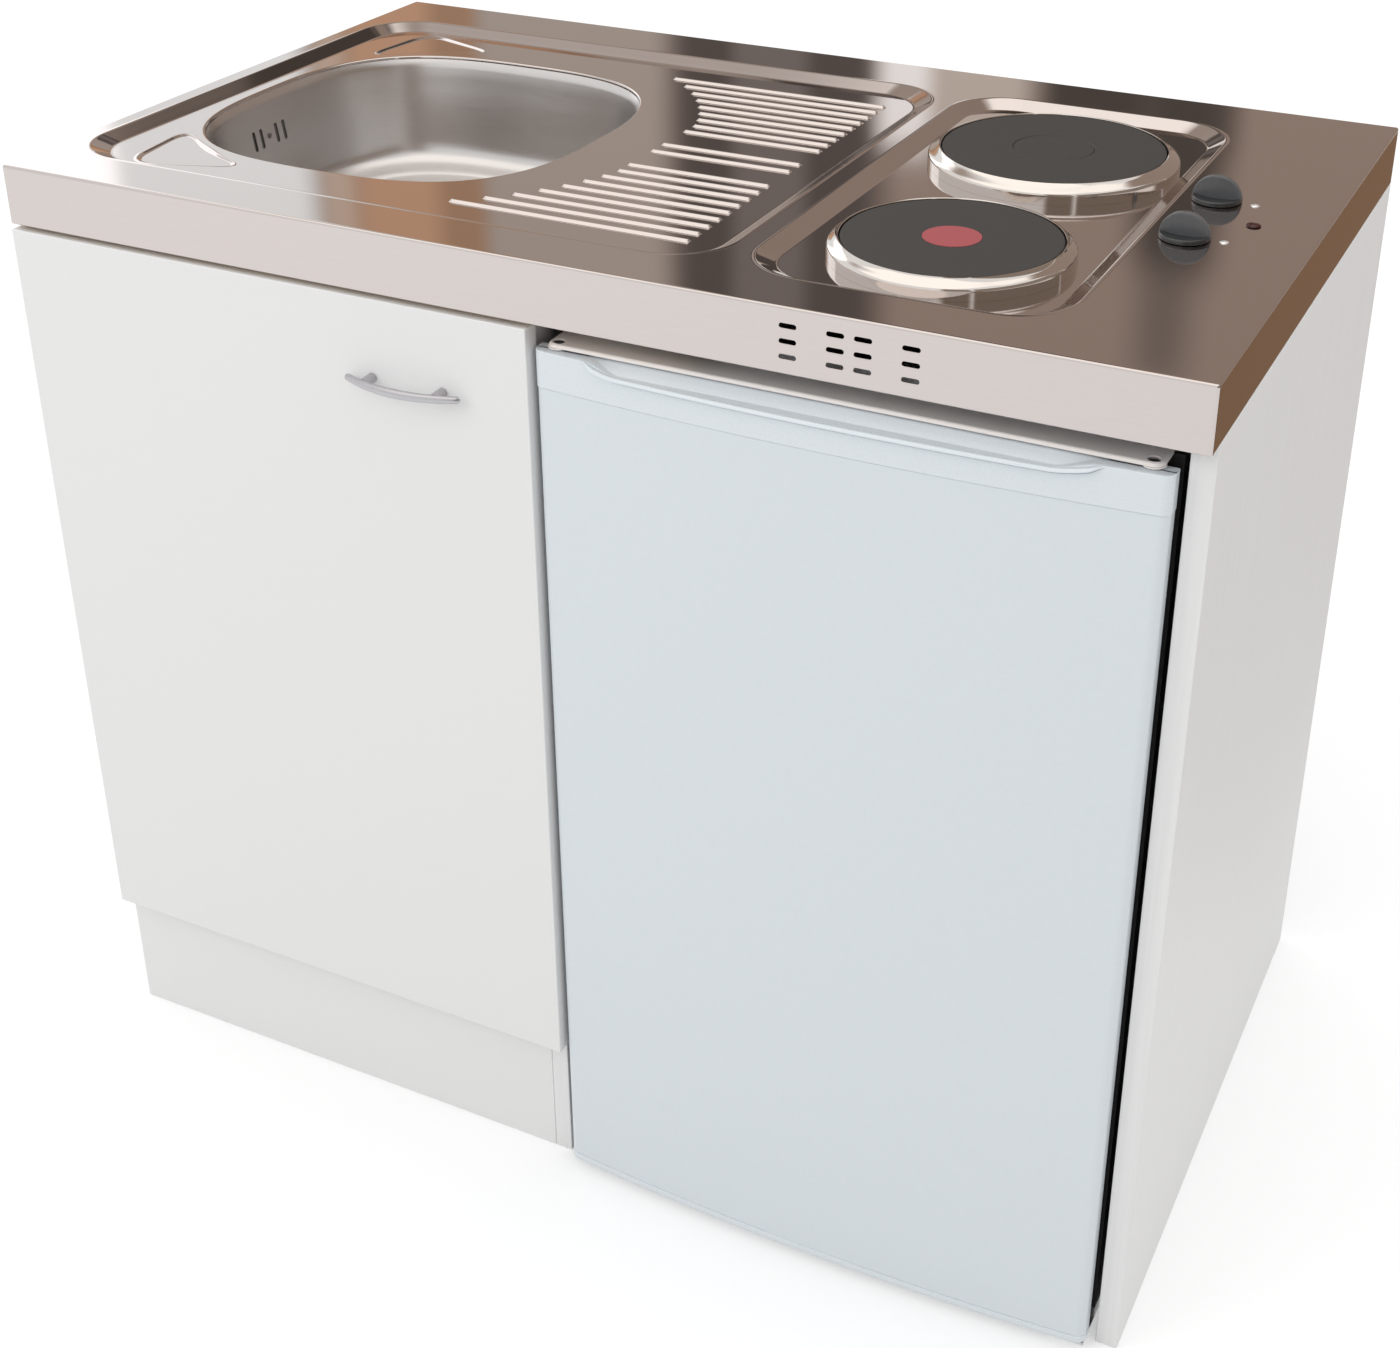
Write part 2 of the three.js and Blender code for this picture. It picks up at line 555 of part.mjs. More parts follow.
// Bow handle: a bar bent away from the door on two posts.
function bowHandle() {
  const { spacing, length, sagitta, middle, ends } = HANDLE;
  const top = -HANDLE_REACH + middle;
  const reach = length / 2 - ends;
  const bowAt = (x) => top + sagitta * (x / (length / 2)) ** 2;
  const points = Array.from({ length: 9 }, (_, i) => {
    const x = reach * (i / 4 - 1);
    return [x, bowAt(x), 0];
  });
  const posts = [-1, 1].map((side) =>
    barAlongY([(side * spacing) / 2, 0], 4, [bowAt(spacing / 2), -DOOR_PROUD - GAP], 12));
  return shaped([tube(points, middle, 16, 12), ...posts]);
}

function addCabinetDoor() {
  add('cabinet_door', cabinetDoor(), whiteBoard);
  add('door_handle', bowHandle(), handleMetal, [HANDLE.x, 0, HANDLE.z]);
  HINGE.heights.forEach((z, i) => {
    const name = ['lower', 'upper'][i];
    add(`${name}_hinge_cup`, hingeCup(), zincSteel, [HINGE.cupX, 0, z]);
    add(`${name}_hinge_arm`, hingeArm(), zincSteel, [0, 0, z]);
  });
}

// ---- fridge body --------------------------------------------------------------------
// A box open at the front, with a step at its lower back for the compressor.
function steppedBox(x, y, z, bay) {
  const step = block(grown(x, 1), [bay.front, y[1] + 1], [z[0] - 1, bay.top]);
  return solid(block(x, y, z)).subtract(solid(step));
}

const bayAt = (forward, up) => ({ front: COMPRESSOR_BAY.front - forward, top: COMPRESSOR_BAY.top + up });

function fridgeCasing() {
  const { x, front, back, z, wall } = FRIDGE;
  const outside = steppedBox(x, [front, back], z, bayAt(0, 0));
  const inside = steppedBox(grown(x, -wall), [front + wall, back - wall], grown(z, -wall), bayAt(wall, wall));
  const doorway = block(FRIDGE_OPENING.x, [front - 1, front + 5], FRIDGE_OPENING.z);
  const serviceHole = block([700, 760], [back - 5, back + 5], [215, 235]);
  return fromSolid(outside.subtract(inside).subtract(joined([doorway, serviceHole])));
}

function fridgeLiner() {
  const wall = 1.5;
  const x = grown(FRIDGE_OPENING.x, -GAP);
  const z = grown(FRIDGE_OPENING.z, -GAP);
  const y = [FRIDGE.front, FRIDGE.back - 40];
  const outside = steppedBox(x, y, z, bayAt(35, 35));
  const bay = bayAt(35 + wall, 35 + wall);
  const inside = steppedBox(grown(x, -wall), [y[0] - 1, y[1] - wall], grown(z, -wall), bay);
  return fromSolid(outside.subtract(inside));
}

function hingeTraverse() {
  const { x, front, back, top, sheet, lip, corner } = TRAVERSE;
  const plate = prism(roundedRectangle(x, [front, back], corner), [top - sheet, top], 3);
  const fold = block(grown(x, -corner), [front, front + sheet], [top - lip, top - sheet / 2]);
  const ends = [PIVOT.x, x[0] + x[1] - PIVOT.x];
  const tabs = ends.map((at) => pillar([at, PIVOT.y + 1], 8, [top - lip - 1.1, top - sheet + 0.2], 20));
  const pin = pillar([PIVOT.x, PIVOT.y], PIVOT.pin, [LEAF.z[1] - 10, top - lip], 12);
  const holes = ends.map((at) => pillar([at, PIVOT.y], PIVOT.hole, [top - lip + 0.6, top + 1], 16));
  return shaped([plate, fold, ...tabs, pin], holes);
}

function bottomHinge() {
  const z = [4, 7];
  return shaped([
    block([944, 975], [5, 62], z),
    block([944, 975], [36, 62], [z[0], FRIDGE.z[0] - GAP]),
    pillar([PIVOT.x, PIVOT.y], PIVOT.pin, [z[0], LEAF.z[0] + 5.5], 12),
  ]);
}

// Levelling foot: a pad on a threaded stem.
function levellingFoot() {
  const top = FRIDGE.z[0] - GAP;
  return turned([[0, 0], [15, 0], [15, 5], [12, 8], [5, 8], [5, top], [0, top]], [0, 0], 20);
}

// Shell of sheet or moulding, open on the side that `opening` cuts away.
function openBox(x, y, z, wall, opening) {
  const hollow = opening(grown(x, -wall), grown(y, -wall), grown(z, -wall));
  return shaped([block(x, y, z)], [block(...hollow)]);
}

const openFront = (x, y, z) => [x, [y[0] - 10, y[1]], z];
const openTop = (x, y, z) => [x, y, [z[0], z[1] + 10]];

const ICE_BOX = { x: [538, 858], y: [160, 440], z: [650, 748] };
const THERMOSTAT = { x: [870, 936], y: [150, 250], z: [690, 758], knob: 15 };

function addFridgeInside() {
  add('ice_box', openBox(ICE_BOX.x, ICE_BOX.y, ICE_BOX.z, 2, openFront), linerWhite);
  const [mouth, low] = [ICE_BOX.y[0], ICE_BOX.z[0]];
  const flap = block(grown(ICE_BOX.x, -1), [mouth - 7, mouth - 2], grown(ICE_BOX.z, -2));
  const lip = block([668, 728], [mouth - 13, mouth - 6], [low + 2, low + 12]);
  add('ice_box_flap', shaped([flap, lip]), linerWhite);

  const dialX = (THERMOSTAT.x[0] + THERMOSTAT.x[1]) / 2;
  const dialZ = 718;
  addBoard('thermostat_box', THERMOSTAT.x, THERMOSTAT.y, THERMOSTAT.z, linerWhite);
  const dial = barAlongY([0, 0], THERMOSTAT.knob, [-12, 0], 24);
  const pointer = block([-2, 2], [-15, -11], [-THERMOSTAT.knob + 1, THERMOSTAT.knob - 1]);
  add('thermostat_knob', shaped([dial, pointer]), knobPlastic, [dialX, THERMOSTAT.y[0] - GAP, dialZ]);

  const shelfX = grown(FRIDGE_OPENING.x, -3);
  addBoard('upper_shelf', shelfX, [118, 474], [476, 480], clearGlass);
  addBoard('lower_shelf', shelfX, [118, 474], [292, 296], clearGlass);
  add('crisper', openBox(grown(shelfX, -8), [124, 360], [68, 284], 2, openTop), clearGlass);
}

// Black wire-on-tube heat exchanger: level runs joined at alternate ends.
function condenser() {
  const x = [530, 942];
  const y = FRIDGE.back + 12;
  const runs = 6;
  const pitch = 92;
  const heights = Array.from({ length: runs }, (_, i) => 250 + i * pitch);
  const tubes = heights.map((z) => {
    const run = new THREE.CylinderGeometry(2.5, 2.5, x[1] - x[0], 6);
    return run.rotateZ(Math.PI / 2).translate((x[0] + x[1]) / 2, y, z);
  });
  const end = (i) => (i % 2 ? x[1] - 2 : x[0] + 2);
  const links = heights.slice(1).map((z, i) => pillar([end(i), y], 2.5, [z - pitch, z], 6));
  const holders = [640, 832].map((at) => block([at, at + 8], [FRIDGE.back + GAP, y], [240, 730]));
  return shaped([...tubes, ...links, ...holders]);
}

// Compressor: a domed steel can, open underneath, on a plate with four feet.
function compressor() {
  const low = FRIDGE.z[0] + 2;
  const can = [
    [58, 44], [68, 66], [70, 110], [60, 142], [38, 160], [0, 168],
    [0, 180], [46, 172], [72, 150], [82, 110], [80, 66], [66, 44], [58, 44],
  ];
  const corners = [-1, 1].flatMap((i) => [-1, 1].map((j) => [i * 84, j * 34]));
  return shaped([
    turned(can, [0, 0], 20),
    block([-95, 95], [-45, 45], [40, 44.5]),
    ...corners.map((at) => pillar(at, 9, [low, 41], 10)),
  ]);
}

function addFridgeBody() {
  add('fridge_casing', fridgeCasing(), blackPaint);
  add('fridge_liner', fridgeLiner(), linerWhite);
  add('hinge_traverse', hingeTraverse(), satinSteel);
  add('bottom_hinge', bottomHinge(), zincSteel);
  add('left_fridge_foot', levellingFoot(), blackPaint, [530, 85, 0]);
  add('right_fridge_foot', levellingFoot(), blackPaint, [936, 85, 0]);
  add('condenser', condenser(), blackPaint);
  add('compressor', compressor(), blackPaint, [640, 490, 0]);
  addFridgeInside();
}

// ---- fridge door --------------------------------------------------------------------
const leafCentre = FRIDGE.x[0] + LEAF_WIDTH / 2;

// Front of the bowed door at x, measured like y.
const leafFront = (x) => LEAF.corner - LEAF.bow * (1 - ((x - leafCentre) / (LEAF_WIDTH / 2)) ** 2);

// Plan outline of the door, from its left back corner round the bowed front to the right.
function leafOutline(inset) {
  const [left, right] = grown(FRIDGE.x, -inset);
  const round = Math.max(LEAF.radius - inset, 1);
  const shoulder = leafFront(FRIDGE.x[0] + LEAF.radius) + inset;
  const apex = LEAF.corner - LEAF.bow + inset;
  return new THREE.Shape()
    .moveTo(left, LEAF.back)
    .lineTo(left, shoulder + round)
    .quadraticCurveTo(left, shoulder, left + round, shoulder)
    .quadraticCurveTo(leafCentre, 2 * apex - shoulder, right - round, shoulder)
    .quadraticCurveTo(right, shoulder, right, shoulder + round)
    .lineTo(right, LEAF.back);
}

function leafSkin(z) {
  const outer = prism(leafOutline(0), z, 12);
  const inner = prism(leafOutline(LEAF.skin), [z[0] - 1, z[1] + 1], 12);
  const behind = block(grown(FRIDGE.x, -LEAF.skin), [LEAF.back - 1, LEAF.back + 1], grown(z, 1));
  return shaped([outer], [inner, behind]);
}

// How far the grip has dipped at x: 0 at both ends and 1 between its two ramps.
function dip(x) {
  const [left, right] = GRIP.x;
  const rise = (distance, ramp) => Math.sin((Math.PI / 2) * THREE.MathUtils.clamp(distance / ramp, 0, 1));
  return Math.min(rise(x - left, GRIP.ramps[0]), rise(right - x, GRIP.ramps[1]));
}

// Tool for the shallow grip: it drops behind the beaded lip and rises again towards the back.
function gripTool(stations, top) {
  const [left, right] = GRIP.x;
  const floor = top - GRIP.drop - 0.5;
  const outline = new THREE.Shape([
    ...stations.map((x) => new THREE.Vector2(x, top - (GRIP.drop + 0.5) * dip(x))),
    new THREE.Vector2(right, top + 2), new THREE.Vector2(left, top + 2),
  ]);
  const above = prism(outline, [-GRIP.back, 30]).rotateX(Math.PI / 2);
  const section = new THREE.Shape([
    new THREE.Vector2(-30, floor), new THREE.Vector2(GRIP.front, floor), new THREE.Vector2(GRIP.back, top),
    new THREE.Vector2(GRIP.back, top + 3), new THREE.Vector2(-30, top + 3),
  ]);
  const slope = prism(section, [0, right - left + 2]).rotateX(Math.PI / 2).rotateZ(Math.PI / 2);
  return solid(above).intersect(solid(slope.translate(left - 1, 0, 0)));
}

function topCap() {
  const z = [LEAF.z[1] - LEAF.topCap + GAP, LEAF.z[1]];
  const steps = 20;
  const step = (GRIP.x[1] - GRIP.x[0]) / steps;
  const stations = Array.from({ length: steps + 1 }, (_, i) => GRIP.x[0] + step * i);
  const crest = stations.map((x) => [x, leafFront(x) - 0.2, z[1] - GRIP.drop * dip(x) + 0.5 - GRIP.bead]);
  const bead = solid(tube(crest, GRIP.bead, steps, 8));
  const bore = solid(pillar([PIVOT.x, PIVOT.y], PIVOT.bore, [z[0] - 1, z[1] + 1], 12));
  const cap = solid(prism(leafOutline(-0.8), z, 12));
  return fromSolid(cap.subtract(gripTool(stations, z[1])).subtract(bore).add(bead));
}

function bottomCap() {
  const z = [LEAF.z[0], LEAF.z[0] + LEAF.bottomCap - GAP];
  const bore = pillar([PIVOT.x, PIVOT.y], PIVOT.bore, grown(z, 1), 12);
  return shaped([prism(leafOutline(-0.8), z, 12)], [bore]);
}

const SEAL_INSET = 18; // keeps the seal clear of the casing as the door turns

// Inner door: a flange that carries the seal, and a tray that stands into the fridge.
function doorLiner() {
  const wall = 1.5;
  const flangeY = [LEAF.back + GAP, LEAF.back + 2];
  const tray = { x: [548, 924], y: [LEAF.back + 1, 46], z: [78, 750] };
  return shaped(
    [block(grown(FRIDGE.x, -SEAL_INSET), flangeY, [40, 788]), block(tray.x, tray.y, tray.z)],
    [block(grown(tray.x, -wall), [flangeY[0] - 1, tray.y[1] - wall], grown(tray.z, -wall))],
  );
}

function doorSeal() {
  const x = grown(FRIDGE.x, -SEAL_INSET - 1);
  const z = [42, 786];
  const y = [LEAF.back + 2 + GAP, FRIDGE.front - GAP];
  const inside = block(grown(x, -13), grown(y, 1), grown(z, -13));
  return shaped([block(x, y, z)], [inside]);
}

function addFridgeDoor() {
  const skinZ = [LEAF.z[0] + LEAF.bottomCap, LEAF.z[1] - LEAF.topCap];
  add('fridge_door_skin', leafSkin(skinZ), doorWhite);
  add('fridge_door_top_cap', topCap(), doorWhite);
  add('fridge_door_bottom_cap', bottomCap(), doorWhite);
  add('fridge_door_liner', doorLiner(), linerWhite);
  add('fridge_door_seal', doorSeal(), greyRubber);
  const rackX = [552, 920];
  const rackY = [46 + GAP, 108];
  add('lower_door_rack', openBox(rackX, rackY, [96, 166], 2, openTop), clearGlass);
  add('upper_door_rack', openBox(rackX, rackY, [400, 452], 2, openTop), clearGlass);
}

addWorktop();
addSink();
addHob();
addCabinet();
addCabinetDoor();
addFridgeBody();
addFridgeDoor();

export default kitchenette;
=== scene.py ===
"""Looks of the kitchenette: camera, light, materials and the fine pieces over its solids.

Lengths are millimetres from the unit's front left floor corner (x along the front, y to the
back, z up), and become metres in the frame's own place when a mesh is made.
"""

from math import atan2, cos, pi, radians, sin, sqrt

import bmesh
import bpy
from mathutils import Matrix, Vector
from mathutils.geometry import tessellate_polygon


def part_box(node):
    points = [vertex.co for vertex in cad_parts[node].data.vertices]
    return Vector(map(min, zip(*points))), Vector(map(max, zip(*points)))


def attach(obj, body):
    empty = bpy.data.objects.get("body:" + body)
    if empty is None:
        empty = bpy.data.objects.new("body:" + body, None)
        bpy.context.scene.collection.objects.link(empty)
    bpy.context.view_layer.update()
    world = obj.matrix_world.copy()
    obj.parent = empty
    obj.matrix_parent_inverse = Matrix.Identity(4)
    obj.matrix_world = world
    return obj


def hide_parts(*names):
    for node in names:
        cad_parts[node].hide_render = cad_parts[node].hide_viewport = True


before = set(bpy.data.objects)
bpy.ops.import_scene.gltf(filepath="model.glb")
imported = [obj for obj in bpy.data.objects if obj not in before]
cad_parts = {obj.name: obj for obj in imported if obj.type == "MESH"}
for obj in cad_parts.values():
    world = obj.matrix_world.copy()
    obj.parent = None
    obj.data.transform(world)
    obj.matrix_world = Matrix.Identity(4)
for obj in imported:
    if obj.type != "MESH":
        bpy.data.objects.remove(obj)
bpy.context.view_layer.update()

MM = 0.001
SHEET_LOW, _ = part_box("worktop_sheet")
CORNER = Vector((SHEET_LOW.x, SHEET_LOW.y, 0.0))


def extent(node):
    """Ranges of a solid along x, y and z, in millimetres from the unit's corner."""
    low, high = ((point - CORNER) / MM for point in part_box(node))
    return [(low[i], high[i]) for i in range(3)]


def middle(span):
    return (span[0] + span[1]) / 2


def size(span):
    return span[1] - span[0]


def grown(span, by):
    return (span[0] - by, span[1] + by)


def about(at, half):
    return (at - half, at + half)


def upright(node):
    """Axis, radius and height range of a solid that is round about an upright line."""
    x, y, z = extent(node)
    return (middle(x), middle(y)), size(x) / 2, z


SHEET_X, SHEET_Y, SHEET_Z = extent("worktop_sheet")
WIDTH, DEPTH, TOP = size(SHEET_X), size(SHEET_Y), SHEET_Z[1]

# ---- camera and light ---------------------------------------------------------------

CAMERA_AT = (1255.1, -1212.1, 1408.0)
CAMERA_TILT = 63.13  # degrees from straight down
CAMERA_TURN = 25.96  # degrees to the left of straight ahead
CAMERA_LENS = 54.11
CAMERA_SHIFT = (-0.0276, -0.1337)
CAMERA_REACH = 60


def add_camera():
    data = bpy.data.cameras.new("camera")
    data.lens = CAMERA_LENS
    data.shift_x, data.shift_y = CAMERA_SHIFT
    data.clip_end = CAMERA_REACH
    camera = bpy.data.objects.new("camera", data)
    camera.location = CORNER + Vector(CAMERA_AT) * MM
    camera.rotation_euler = (radians(CAMERA_TILT), 0, radians(CAMERA_TURN))
    bpy.context.scene.collection.objects.link(camera)
    bpy.context.scene.camera = camera


def plane(name, corners, material):
    """A flat stage card through four corners, in metres."""
    mesh = bpy.data.meshes.new(name)
    mesh.from_pydata(corners, [], [(0, 1, 2, 3)])
    mesh.materials.append(material)
    card = bpy.data.objects.new(name, mesh)
    bpy.context.scene.collection.objects.link(card)
    return card


def new_nodes(name):
    material = bpy.data.materials.new(name)
    material.use_nodes = True
    tree = material.node_tree
    tree.nodes.clear()
    return material, tree


def add_node(tree, kind, inputs=None, **settings):
    """A shader node; inputs maps each socket to its value, or to the node or output feeding it."""
    node = tree.nodes.new(kind)
    for name, value in settings.items():
        setattr(node, name, value)
    for socket, value in (inputs or {}).items():
        if isinstance(value, bpy.types.Node):
            value = value.outputs[0]
        if isinstance(value, bpy.types.NodeSocket):
            tree.links.new(value, node.inputs[socket])
        else:
            node.inputs[socket].default_value = value
    return node


def seen_directly(tree):
    """1 where a camera, glossy or transmission ray looks, else 0."""
    path = add_node(tree, "ShaderNodeLightPath")
    total = path.outputs["Is Camera Ray"]
    for ray in ("Is Glossy Ray", "Is Transmission Ray"):
        total = add_node(tree, "ShaderNodeMath", {0: total, 1: path.outputs[ray]}, operation="MAXIMUM")
    return total


FLOOR_HALF = 9.0
FLOOR_DROP = 0.0004
FLOOR_COLOUR = (0.62, 0.62, 0.62, 1)
FLOOR_LIFT = 0.42  # added where the floor is looked at, so that it reads as white paper


def add_floor():
    material, tree = new_nodes("floor_paper")
    paper = add_node(tree, "ShaderNodeBsdfDiffuse", {"Color": FLOOR_COLOUR})
    lift = add_node(tree, "ShaderNodeMath", {0: seen_directly(tree), 1: FLOOR_LIFT}, operation="MULTIPLY")
    glow = add_node(tree, "ShaderNodeEmission", {"Strength": lift})
    both = add_node(tree, "ShaderNodeAddShader", {0: paper, 1: glow})
    add_node(tree, "ShaderNodeOutputMaterial", {"Surface": both})
    h, z = FLOOR_HALF, -FLOOR_DROP
    plane("floor", [(-h, -h, z), (h, -h, z), (h, h, z), (-h, h, z)], material)


WORLD_LIGHT = 0.985
WHITE = (1, 1, 1, 1)


def add_world():
    world = bpy.data.worlds.new("studio")
    bpy.context.scene.world = world
    world.use_nodes = True
    tree = world.node_tree
    tree.nodes.clear()
    ambient = add_node(tree, "ShaderNodeBackground", {"Color": WHITE, "Strength": WORLD_LIGHT})
    white = add_node(tree, "ShaderNodeBackground", {"Color": WHITE, "Strength": 1.0})
    choose = add_node(tree, "ShaderNodeMixShader", {0: seen_directly(tree), 1: ambient, 2: white})
    add_node(tree, "ShaderNodeOutputWorld", {"Surface": choose})


def add_lamp(name, at, aim, side, power):
    data = bpy.data.lights.new(name, "AREA")
    data.shape = "DISK"
    data.size = side
    data.energy = power
    lamp = bpy.data.objects.new(name, data)
    lamp.location = at
    lamp.rotation_euler = (Vector(aim) - Vector(at)).to_track_quat("-Z", "Y").to_euler()
    lamp.visible_glossy = False
    bpy.context.scene.collection.objects.link(lamp)


def add_lamps():
    add_lamp("key", (-2.2, -3.0, 2.6), (0, 0, 0.5), 2.4, 24)
    add_lamp("top", (0.3, 0.4, 3.4), (0, 0, 0.6), 2.0, 8)


# The room that only the polished metal sees, as plain cards: colour, the ranges along x, y and
# z in metres (a single number along the flat one), and the width of the soft edge in metres.
ROOM_LIGHT = 1.03
WALL = (-0.6, 6.0)
CARDS = {
    "room_back": ((0.36, 0.28, 0.235), (-3.6, 3.6), 3.6, (-0.6, 7.0), 0.0),
    "room_right": ((0.30, 0.245, 0.205), 3.6, (-4.0, 3.6), (-0.1, 5.0), 0.3),
    "side_room": ((0.30, 0.245, 0.205), (0.9, 3.6), -4.0, (-0.1, 5.0), 0.5),
    "ceiling": ((0.45, 0.38, 0.33), (-3.6, -0.7), (0.6, 4.2), 3.95, 0.9),
    "wall_shade": ((0.08, 0.065, 0.055), (-2.4, -0.4), 3.5, (2.7, 4.8), 0.45),
    "softbox": ((1.45, 1.40, 1.34), (-3.6, 1.6), (-3.6, 0.9), 4.4, 0.5),
    "softbox_right": ((1.40, 1.35, 1.29), (-1.8, 2.2), (0.2, 2.6), 4.39, 0.7),
    "daylight": ((1.6, 1.6, 1.62), (-9.0, -3.64), 3.3, WALL, 0.12),
    "pale_wall": ((0.97, 1.00, 1.01), (-3.80, -2.88), 3.29, WALL, 0.16),
    "brown_edge": ((0.60, 0.47, 0.38), (-2.97, -2.76), 3.28, WALL, 0.09),
    "orange_curtain": ((0.59, 0.36, 0.235), (-2.86, -2.32), 3.27, WALL, 0.12),
    "curtain_fold": ((0.42, 0.26, 0.17), (-2.56, -2.30), 3.26, WALL, 0.10),
    "grey_strip": ((0.46, 0.40, 0.355), (-2.38, -1.70), 3.25, WALL, 0.08),
    "doorway": ((0.115, 0.095, 0.088), (-1.82, -1.08), 3.24, WALL, 0.14),
    "door_edge": ((0.21, 0.18, 0.165), (-1.60, -1.32), 3.23, WALL, 0.07),
    "light_wall": ((0.62, 0.54, 0.48), (-1.22, -0.68), 3.22, (-0.6, 1.98), 0.14),
    "bright_gap": ((1.05, 1.03, 1.02), (-1.19, -0.98), 3.21, (-0.6, 1.98), 0.08),
    "dark_frame": ((0.085, 0.070, 0.062), (-0.80, -0.22), 3.20, (-0.6, 1.92), 0.12),
    "post_top": ((0.20, 0.165, 0.145), (-0.52, -0.26), 3.19, (-0.6, 2.5), 0.13),
    "dark_post": ((0.09, 0.075, 0.066), (-0.54, -0.22), 3.18, (-0.6, 2.2), 0.13),
    "wood_floor": ((0.23, 0.14, 0.085), (0.6, 3.4), (0.2, 3.4), 0.02, 0.2),
}


def soft_edges(tree, softness, spans):
    """1 over a card and 0 at its edges; spans holds the card's size along its two axes."""
    place_on = add_node(tree, "ShaderNodeTexCoord").outputs["Generated"]
    parts = add_node(tree, "ShaderNodeSeparateXYZ", {0: place_on})
    fades = []
    for axis, span in spans.items():
        fold = add_node(tree, "ShaderNodeMath", {0: parts.outputs[axis], 1: 0.5}, operation="PINGPONG")
        reach = max(softness / span, 0.001)
        fade = {"Value": fold, "From Max": reach}
        fades.append(add_node(tree, "ShaderNodeMapRange", fade, interpolation_type="SMOOTHSTEP"))
    return add_node(tree, "ShaderNodeMath", {0: fades[0], 1: fades[1]}, operation="MULTIPLY")


def card_corners(ranges):
    """The four corners of a card, and its sizes along the two axes in which it isn't flat."""
    a, b = [axis for axis in range(3) if isinstance(ranges[axis], tuple)]
    corners = []
    for i, j in ((0, 0), (1, 0), (1, 1), (0, 1)):
        corner = list(ranges)
        corner[a], corner[b] = ranges[a][i], ranges[b][j]
        corners.append(tuple(corner))
    return corners, {axis: size(ranges[axis]) for axis in (a, b)}


def add_cards():
    for name, (colour, x, y, z, softness) in CARDS.items():
        corners, spans = card_corners((x, y, z))
        material, tree = new_nodes(name)
        glow = add_node(tree, "ShaderNodeEmission", {"Color": (*colour, 1), "Strength": ROOM_LIGHT})
        clear = add_node(tree, "ShaderNodeBsdfTransparent")
        share = soft_edges(tree, softness, spans)
        blend = add_node(tree, "ShaderNodeMixShader", {0: share, 1: clear, 2: glow})
        add_node(tree, "ShaderNodeOutputMaterial", {"Surface": blend})
        card = plane(name, corners, material)
        card.visible_camera = False
        card.visible_diffuse = False
        card.visible_transmission = False
        card.visible_shadow = False


# ---- materials ----------------------------------------------------------------------

NOISE_LOW, NOISE_HIGH = 0.3, 0.7  # most of the noise lies between these


def surface(name, colour, roughness, metallic, grain, shade, rough, bump, waves=None, extra=None):
    """A Principled material with noise in its colour, roughness and surface.

    grain: noise cycles per metre, as one number or along x, y and z; shade and rough: how far
    the colour and the roughness wander from their values; bump: height of the grain in
    millimetres; waves: (cycles per metre, height in millimetres) of a slow unevenness below
    the grain; extra: plain values of other sockets.
    """
    material, tree = new_nodes(name)
    spot = add_node(tree, "ShaderNodeTexCoord").outputs["Object"]
    scale = grain if isinstance(grain, tuple) else (grain, grain, grain)
    stretch = add_node(tree, "ShaderNodeMapping", {"Vector": spot, "Scale": scale})
    cloud = {"Vector": stretch, "Scale": 1.0, "Detail": 3.0}
    noise = add_node(tree, "ShaderNodeTexNoise", cloud).outputs["Fac"]

    tint = add_node(tree, "ShaderNodeValToRGB", {"Fac": noise})
    ends = zip(tint.color_ramp.elements, (NOISE_LOW, NOISE_HIGH), (1 - shade, 1 + shade))
    for element, position, factor in ends:
        element.color = (*(min(part * factor, 1) for part in colour), 1)
        element.position = position
    spread = add_node(tree, "ShaderNodeMapRange", {
        "Value": noise, "From Min": NOISE_LOW, "From Max": NOISE_HIGH,
        "To Min": roughness * (1 - rough), "To Max": roughness * (1 + rough),
    })
    relief = add_node(tree, "ShaderNodeBump", {"Distance": bump * MM, "Height": noise})
    if waves:
        cycles, height = waves
        swell = {"Vector": spot, "Scale": cycles, "Detail": 1.0}
        slow = add_node(tree, "ShaderNodeTexNoise", swell).outputs["Fac"]
        below = add_node(tree, "ShaderNodeBump", {"Distance": height * MM, "Height": slow})
        tree.links.new(below.outputs[0], relief.inputs["Normal"])
    shader = add_node(tree, "ShaderNodeBsdfPrincipled", {
        "Metallic": metallic, "Base Color": tint, "Roughness": spread, "Normal": relief, **(extra or {}),
    })
    add_node(tree, "ShaderNodeOutputMaterial", {"Surface": shader})
    return material


BOARD_WHITE = (0.83, 0.825, 0.82)
STEEL = (0.595, 0.545, 0.525)
GLASS = {"Transmission Weight": 0.9, "IOR": 1.5}
ACRYLIC = {"Transmission Weight": 0.85, "IOR": 1.46}

